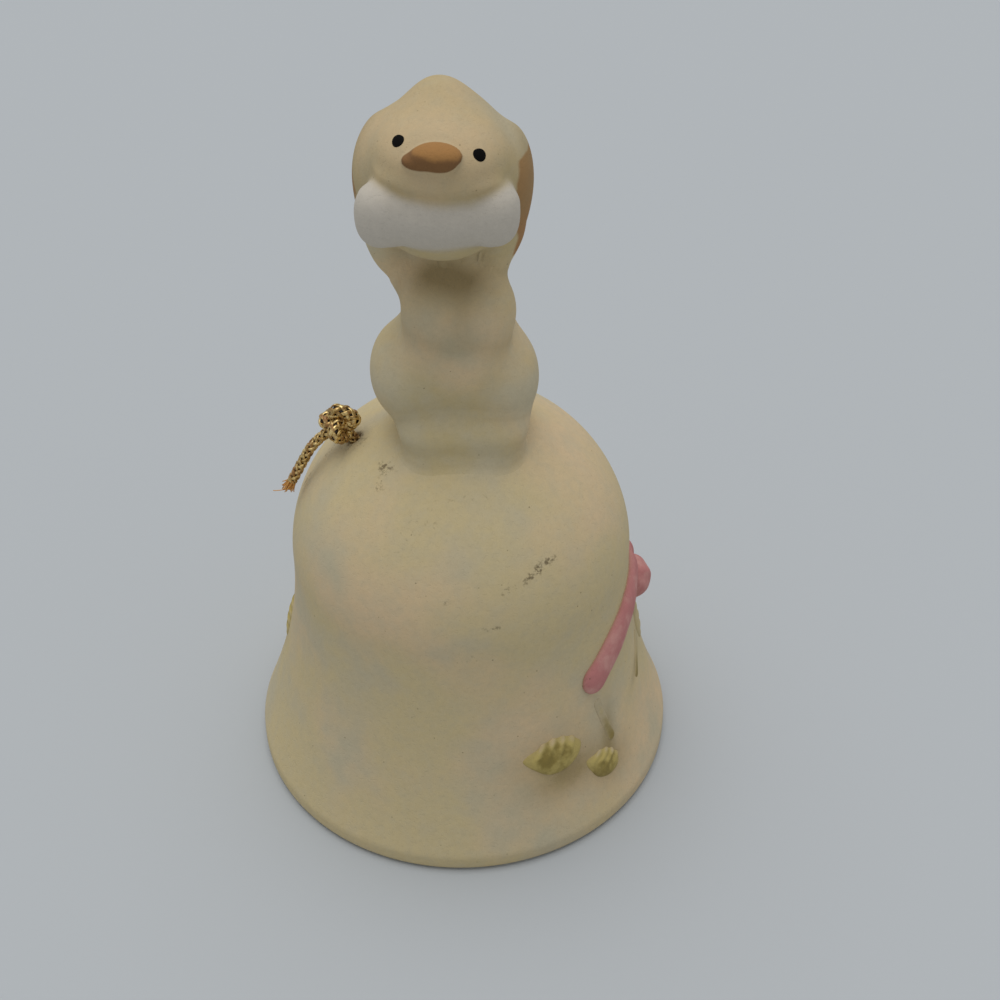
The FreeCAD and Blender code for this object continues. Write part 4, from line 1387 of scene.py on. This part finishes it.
def tube(points, frame_across, half_sizes, around=8):
    """A closed tube: an ellipse carried along a line, its half sizes given along both directions across."""
    along, first, second = frame_across
    turn = np.linspace(0, 2 * np.pi, around, endpoint=False)
    wide, thick = (np.broadcast_to(np.asarray(size, float), len(points))[:, None, None] for size in half_sizes)
    ring = (wide * np.cos(turn)[None, :, None] * first[:, None] + thick * np.sin(turn)[None, :, None]
            * second[:, None])
    body = (points[:, None] + ring).reshape(-1, 3)
    every = np.vstack([points[:1], body, points[-1:]])
    return every, capped_faces(len(points), around)


def joined(parts):
    """Several pairs of points and faces as one, with the faces renumbered."""
    points, quads, triangles, start = [], [], [], 0
    for part_points, (part_quads, part_triangles) in parts:
        if enclosed(part_points, part_quads, part_triangles) < 0:
            part_quads, part_triangles = part_quads[:, ::-1], part_triangles[:, ::-1]
        points.append(part_points)
        quads.append(part_quads + start)
        triangles.append(part_triangles + start)
        start += len(part_points)
    return np.vstack(points), np.vstack(quads), np.vstack(triangles)


def braid(points, towards, radius=cord_radius, tightness=1.0):
    """The core and the strands of a braid round a line. A strand's angle grows with the length along it, and
    its distance from the line is a wave that peaks where it crosses over another strand."""
    along, first, second = across_line(points, towards)
    lengths = lengths_along(points)
    parts = [tube(points, (along, first, second), (radius * core_share, radius * core_share), 10)]
    middle = radius - strand_half[1] - weave
    for way in (-1, 1):
        for index in range(strand_count):
            angle = way * 2 * np.pi * lengths / braid_pitch * tightness + 2 * np.pi * index / strand_count
            rise = way * weave * np.cos(2 * np.pi * strand_count * lengths / braid_pitch * tightness)
            out = np.cos(angle)[:, None] * first + np.sin(angle)[:, None] * second
            path = points + out * (middle + rise)[:, None]
            strand_along, outwards, beside = across_line(path, out)
            half_sizes = (strand_half[0] * radius / cord_radius, strand_half[1])
            parts.append(tube(path, (strand_along, beside, outwards), half_sizes, 8))
    return parts


def strand_masks(parts):
    """Marks the core with 0 and the strands with numbers of their own between 0.2 and 1."""
    marks = [np.full(len(points), 0.0 if index % (2 * strand_count + 1) == 0 else 0.2 + 0.8 * (index * 0.37 % 1.0))
             for index, (points, _) in enumerate(parts)]
    return {"strand": np.concatenate(marks)}


# %% Gold braid
def gold_braid_material():
    """Metallic foil over yarn: bright where the foil is whole, copper-brown where it is worn, and near black in
    the core, which is painted shade for the gaps between the strands.
    """
    made, tree, shader = bare_material("gold_braid")
    place = object_place(tree)
    strand = mask_of(tree, "strand")
    foil = noise(tree, place, 3200.0, 3.0, 0.65)
    wear_and_shade = stepped(tree, noise(tree, place, 900.0, 3.0, 0.6), 0.48, 0.66)
    tint = stepped(tree, maths(tree, "ADD", foil, maths(tree, "MULTIPLY", strand, 0.35)), 0.45, 1.0)
    gold = mixed(tree, tint, (0.30, 0.17, 0.045, 1.0), (0.95, 0.72, 0.32, 1.0))
    thread = mixed(tree, foil, (0.20, 0.085, 0.02, 1.0), (0.42, 0.20, 0.05, 1.0))
    surface = mixed(tree, wear_and_shade, gold, thread)
    on_strand = maths(tree, "GREATER_THAN", strand, 0.1)
    # Painted shade: the core, seen in the gaps between strands, is near black.
    colour = mixed(tree, on_strand, (0.030, 0.016, 0.008, 1.0), surface)
    tree.links.new(colour, shader.inputs["Base Color"])
    shine = maths(tree, "MULTIPLY", maths(tree, "SUBTRACT", 1.0, maths(tree, "MULTIPLY", wear_and_shade, 0.8)), on_strand)
    tree.links.new(shine, shader.inputs["Metallic"])
    tree.links.new(maths(tree, "ADD", maths(tree, "MULTIPLY", foil, 0.35), 0.20), shader.inputs["Roughness"])
    bump = node(tree, "Bump", None, Height=foil, Strength=0.5, Distance=0.00005)
    tree.links.new(bump.outputs[0], shader.inputs["Normal"])
    return made


def thread_material():
    """The yarn inside the foil, as it shows in the frayed ends: orange-brown with a soft sheen."""
    made, tree, shader = bare_material("cord_thread")
    streak = noise(tree, object_place(tree), 4200.0, 3.0, 0.6)
    colour = mixed(tree, streak, (0.46, 0.19, 0.035, 1.0), (0.85, 0.45, 0.11, 1.0))
    tree.links.new(colour, shader.inputs["Base Color"])
    tree.links.new(maths(tree, "ADD", maths(tree, "MULTIPLY", streak, 0.3), 0.35), shader.inputs["Roughness"])
    tree.links.new(maths(tree, "MULTIPLY", streak, 0.5), shader.inputs["Metallic"])
    return made


finishes["gold_braid"] = gold_braid_material()
finishes["cord_thread"] = thread_material()


def add_braid(name, parts, finish="gold_braid", masks=None):
    """Makes one object of a braid's core and strands."""
    points, quads, triangles = joined(parts)
    made = mesh_object(name, points, quads, triangles, masks or strand_masks(parts))
    made.data.materials.append(finishes[finish])
    return made


# %% [markdown]
# ### Knots
# An overhand knot, pulled tight, is a trefoil: a line that winds twice round a ring while it waves three times
# through it. The braid follows that line, and its frame is kept facing away from the knot's middle.


# %% Knots
trefoil_loops = 1.55             # how much wider the double winding is than the single one


def knot_line(centre, axis, ring, wave, turn, spacing=0.12):
    """A trefoil round a centre: twice round, three waves along the axis, turned about it by some degrees."""
    angle = np.linspace(0, 2 * np.pi, 400)
    flat = ring * np.stack([np.sin(angle) + trefoil_loops * np.sin(2 * angle),
                            np.cos(angle) - trefoil_loops * np.cos(2 * angle)], -1)
    axis = unit(np.asarray(axis, float))
    side = unit(np.cross(axis, (0.0, 1.0, 0.0)))
    other = np.cross(axis, side)
    spin = math.radians(turn)
    side, other = (math.cos(spin) * side + math.sin(spin) * other, math.cos(spin) * other - math.sin(spin) * side)
    points = (centre + flat[:, :1] * side + flat[:, 1:] * other - wave * np.sin(3 * angle)[:, None] * axis)
    return evenly(points, spacing)


def knot_parts(centre, axis, ring, wave, turn, radius):
    """The braid of a knot."""
    line = knot_line(centre, axis, ring, wave, turn)
    return braid(line, line - centre + unit(np.asarray(axis, float)) * 0.3, radius)


knot_axis = (-0.75, -0.45, 0.45)
outer_knot = knot_parts(knot_centre + (-0.15, 0.0, 0.3), knot_axis, 0.83, 1.30, 20.0, cord_radius * 1.28)
knot = add_braid("knot_outside_braid", outer_knot)
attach(knot, "bell")
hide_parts("knot_outside")
lower_knot = knot_parts(stop_centre, (0.2, -0.3, 1.0), 0.47, 0.55, 60.0, cord_radius * 0.92)
stop_knot = add_braid("stop_knot_braid", lower_knot)
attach(stop_knot, "clapper_cord")
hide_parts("stop_knot")

# %% [markdown]
# ### Free ends
# Foil braid frays as soon as it is cut: the strands end, and the yarn under them spreads into a short brush.
# Hair particles could do this, but a few dozen thin bent tubes are plain meshes and stay the same every time.


# %% Free ends
def fibres(start, along, length, spread, count, seed, thickness=0.11):
    """A brush of thin tubes from a disc, each bending further out along its length."""
    chance = np.random.default_rng(seed)
    along = unit(np.asarray(along, float))
    side = unit(np.cross(along, (0.0, 1.0, 0.0)))
    other = np.cross(along, side)
    parts = []
    for _ in range(count):
        turn, reach = chance.uniform(0, 2 * np.pi), math.sqrt(chance.uniform(0, 1)) * cord_radius * 0.72
        out = math.cos(turn) * side + math.sin(turn) * other
        t = np.linspace(0, 1, 9)[:, None]
        bend = chance.normal(0, 0.16, 2)
        own_length = length * chance.uniform(0.72, 1.05)
        sideways = out * spread * (0.4 + reach) + side * bend[0] + other * bend[1]
        line = start - along * 0.4 + out * reach + along * own_length * t + sideways * t ** 2
        parts.append(tube(line, across_line(line, out), (thickness * (1 - 0.4 * t[:, 0]),) * 2, 5))
    return parts


def stray_fibre(start, end, sag):
    """One loose thread, in a shallow bow between two points."""
    t = np.linspace(0, 1, 16)[:, None]
    line = start + (end - start) * t + np.array([0, 0, -sag]) * 4 * t * (1 - t)
    return tube(line, across_line(line, (0.0, 1.0, 0.0)), (0.06, 0.06), 5)


tail_line = smooth_line([knot_centre] + [knot_centre + step for step in tail_steps])
braid_stop = line_length(tail_line) - 1.9
keep = np.concatenate([[0], np.cumsum(np.linalg.norm(np.diff(tail_line, axis=0), axis=1))]) <= braid_stop
tail = add_braid("cord_tail_braid", braid(tail_line[keep], (0.0, -1.0, 0.0)))
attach(tail, "bell")
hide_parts("cord_tail")
tail_end, tail_way = tail_line[keep][-1], tail_line[-1] - tail_line[-3]
loose = fibres(tail_end, tail_way, 2.1, 0.35, 46, 4)
loose.append(stray_fibre(tail_line[-4], tail_line[-1] + (-1.9, -0.2, 0.2), 0.1))
fray = add_braid("cord_tail_fray", loose, "cord_thread", {"strand": np.ones(sum(len(p) for p, _ in loose))})
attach(fray, "bell")
print(f"tail: {line_length(tail_line):.1f} mm from the knot's middle")

# %% [markdown]
# ### The cord inside
# Below the hole the cord hangs straight, and it bends at two places so that the bead can swing. Each stretch
# is blended across one bend: the upper one from the bell to the short link, the lower one from the link to the
# part that carries the bead. They meet in the middle of the link, where both follow it.

# %% The cord inside
neck_line = smooth_line([knot_centre, turn_corner, upper_pivot - (0, 0, 0.02), link_middle])
neck = add_braid("cord_neck_braid", braid(neck_line, (0.0, -1.0, 0.0)))
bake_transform(neck)
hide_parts("cord_in_hole", "cord_link")
hanging_line = evenly(np.array([link_middle + (0, 0, 0.05), stop_centre]), 0.12)
hanging = add_braid("clapper_cord_braid", braid(hanging_line, (0.0, -1.0, 0.0)))
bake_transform(hanging)
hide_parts("clapper_cord")
brush_start = np.array([cord_x, 0.0, stop_low[2] + 0.4])
brush = fibres(brush_start, (0.05, 0.0, -1.0), brush_start[2] - cord_end_low[2] + 0.1, 0.25, 40, 9)
end_fray = add_braid("cord_end_fray", brush, "cord_thread", {"strand": np.ones(sum(len(p) for p, _ in brush))})
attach(end_fray, "clapper_cord")
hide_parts("cord_end_below_bead")

# %% [markdown]
# ### Bead
# The clapper is a porcelain bead. A sphere with a bore is turned like the bell: one closed outline, down the
# outside, up the bore. The lower mouth widens into a seat for the stop knot.

# %% Bead
bore_radius = cord_radius + 0.08
seat_radius = (stop_high[0] - stop_low[0]) / 2 + 0.1
mouth_round = 0.45


def bead_outline():
    """Radius and height: sphere, rounded upper mouth, bore, seat, rounded lower mouth."""
    top = math.asin((bore_radius + mouth_round) / bead_radius)
    seat_top = stop_centre[2] - bead_centre[2] + math.sqrt(seat_radius ** 2 - bore_radius ** 2)
    seat_edge = seat_radius * 0.93
    low = math.asin((seat_edge + 0.25) / bead_radius)
    angle = np.linspace(top, math.pi - low, 120)
    sphere = np.stack([bead_radius * np.sin(angle), bead_radius * np.cos(angle)], -1)
    lower = sphere[-1]
    seat_angle = np.linspace(math.asin(seat_edge / seat_radius), math.asin(bore_radius / seat_radius), 14)
    seat = np.stack([seat_radius * np.sin(seat_angle),
                     stop_centre[2] - bead_centre[2] + seat_radius * np.cos(seat_angle)], -1)
    bore_top = sphere[0, 1] - mouth_round * 0.6
    bore = np.stack([np.full(30, bore_radius), np.linspace(seat_top, bore_top, 32)[1:-1]], -1)
    turn = np.linspace(0, 0.5 * math.pi, 8)[1:-1]
    upper = np.stack([bore_radius + mouth_round * (1 - np.cos(turn)),
                      sphere[0, 1] - mouth_round * 0.6 + mouth_round * 0.6 * np.sin(turn)], -1)
    return np.vstack([sphere, [[lower[0] - 0.2, lower[1] + 0.02]], seat, bore, upper])


profile = bead_outline()
turns = np.linspace(0, 2 * np.pi, 120, endpoint=False)
ring = np.stack([profile[:, :1] * np.cos(turns), profile[:, :1] * np.sin(turns),
                 np.broadcast_to(profile[:, 1:], (len(profile), len(turns)))], -1)
bead_points = bead_centre + ring.reshape(-1, 3)
none = np.zeros(len(bead_points))
bead = mesh_object("clapper_bead_cast", bead_points, grid_faces(len(profile), len(turns), wrap_rows=True),
                   masks={"crease": none, "smudge": none})
finished(bead, "clapper_bead", finishes["bead_bisque"], "clapper_bead")
print(f"cord inside: {line_length(neck_line):.1f} mm through the hole, {line_length(hanging_line):.1f} mm hanging")

# %% The floor
def add_floor():
    """A pale, faintly uneven tabletop, wider than any view."""
    corners = [(-floor_half, -floor_half, 0), (floor_half, -floor_half, 0), (floor_half, floor_half, 0),
               (-floor_half, floor_half, 0)]
    data = bpy.data.meshes.new("floor")
    data.from_pydata(corners, [], [(0, 1, 2, 3)])
    floor = bpy.data.objects.new("floor", data)
    bpy.context.scene.collection.objects.link(floor)
    made, tree, shader = bare_material("pale_floor")
    cloud = noise(tree, object_place(tree), 6.0, 2.0, 0.5)
    darker = tuple(value * 0.985 for value in floor_grey)
    tree.links.new(mixed(tree, cloud, (*floor_grey, 1.0), (*darker, 1.0)), shader.inputs["Base Color"])
    shader.inputs["Roughness"].default_value = 0.9
    shader.inputs["Specular IOR Level"].default_value = 0.1
    data.materials.append(made)


add_floor()
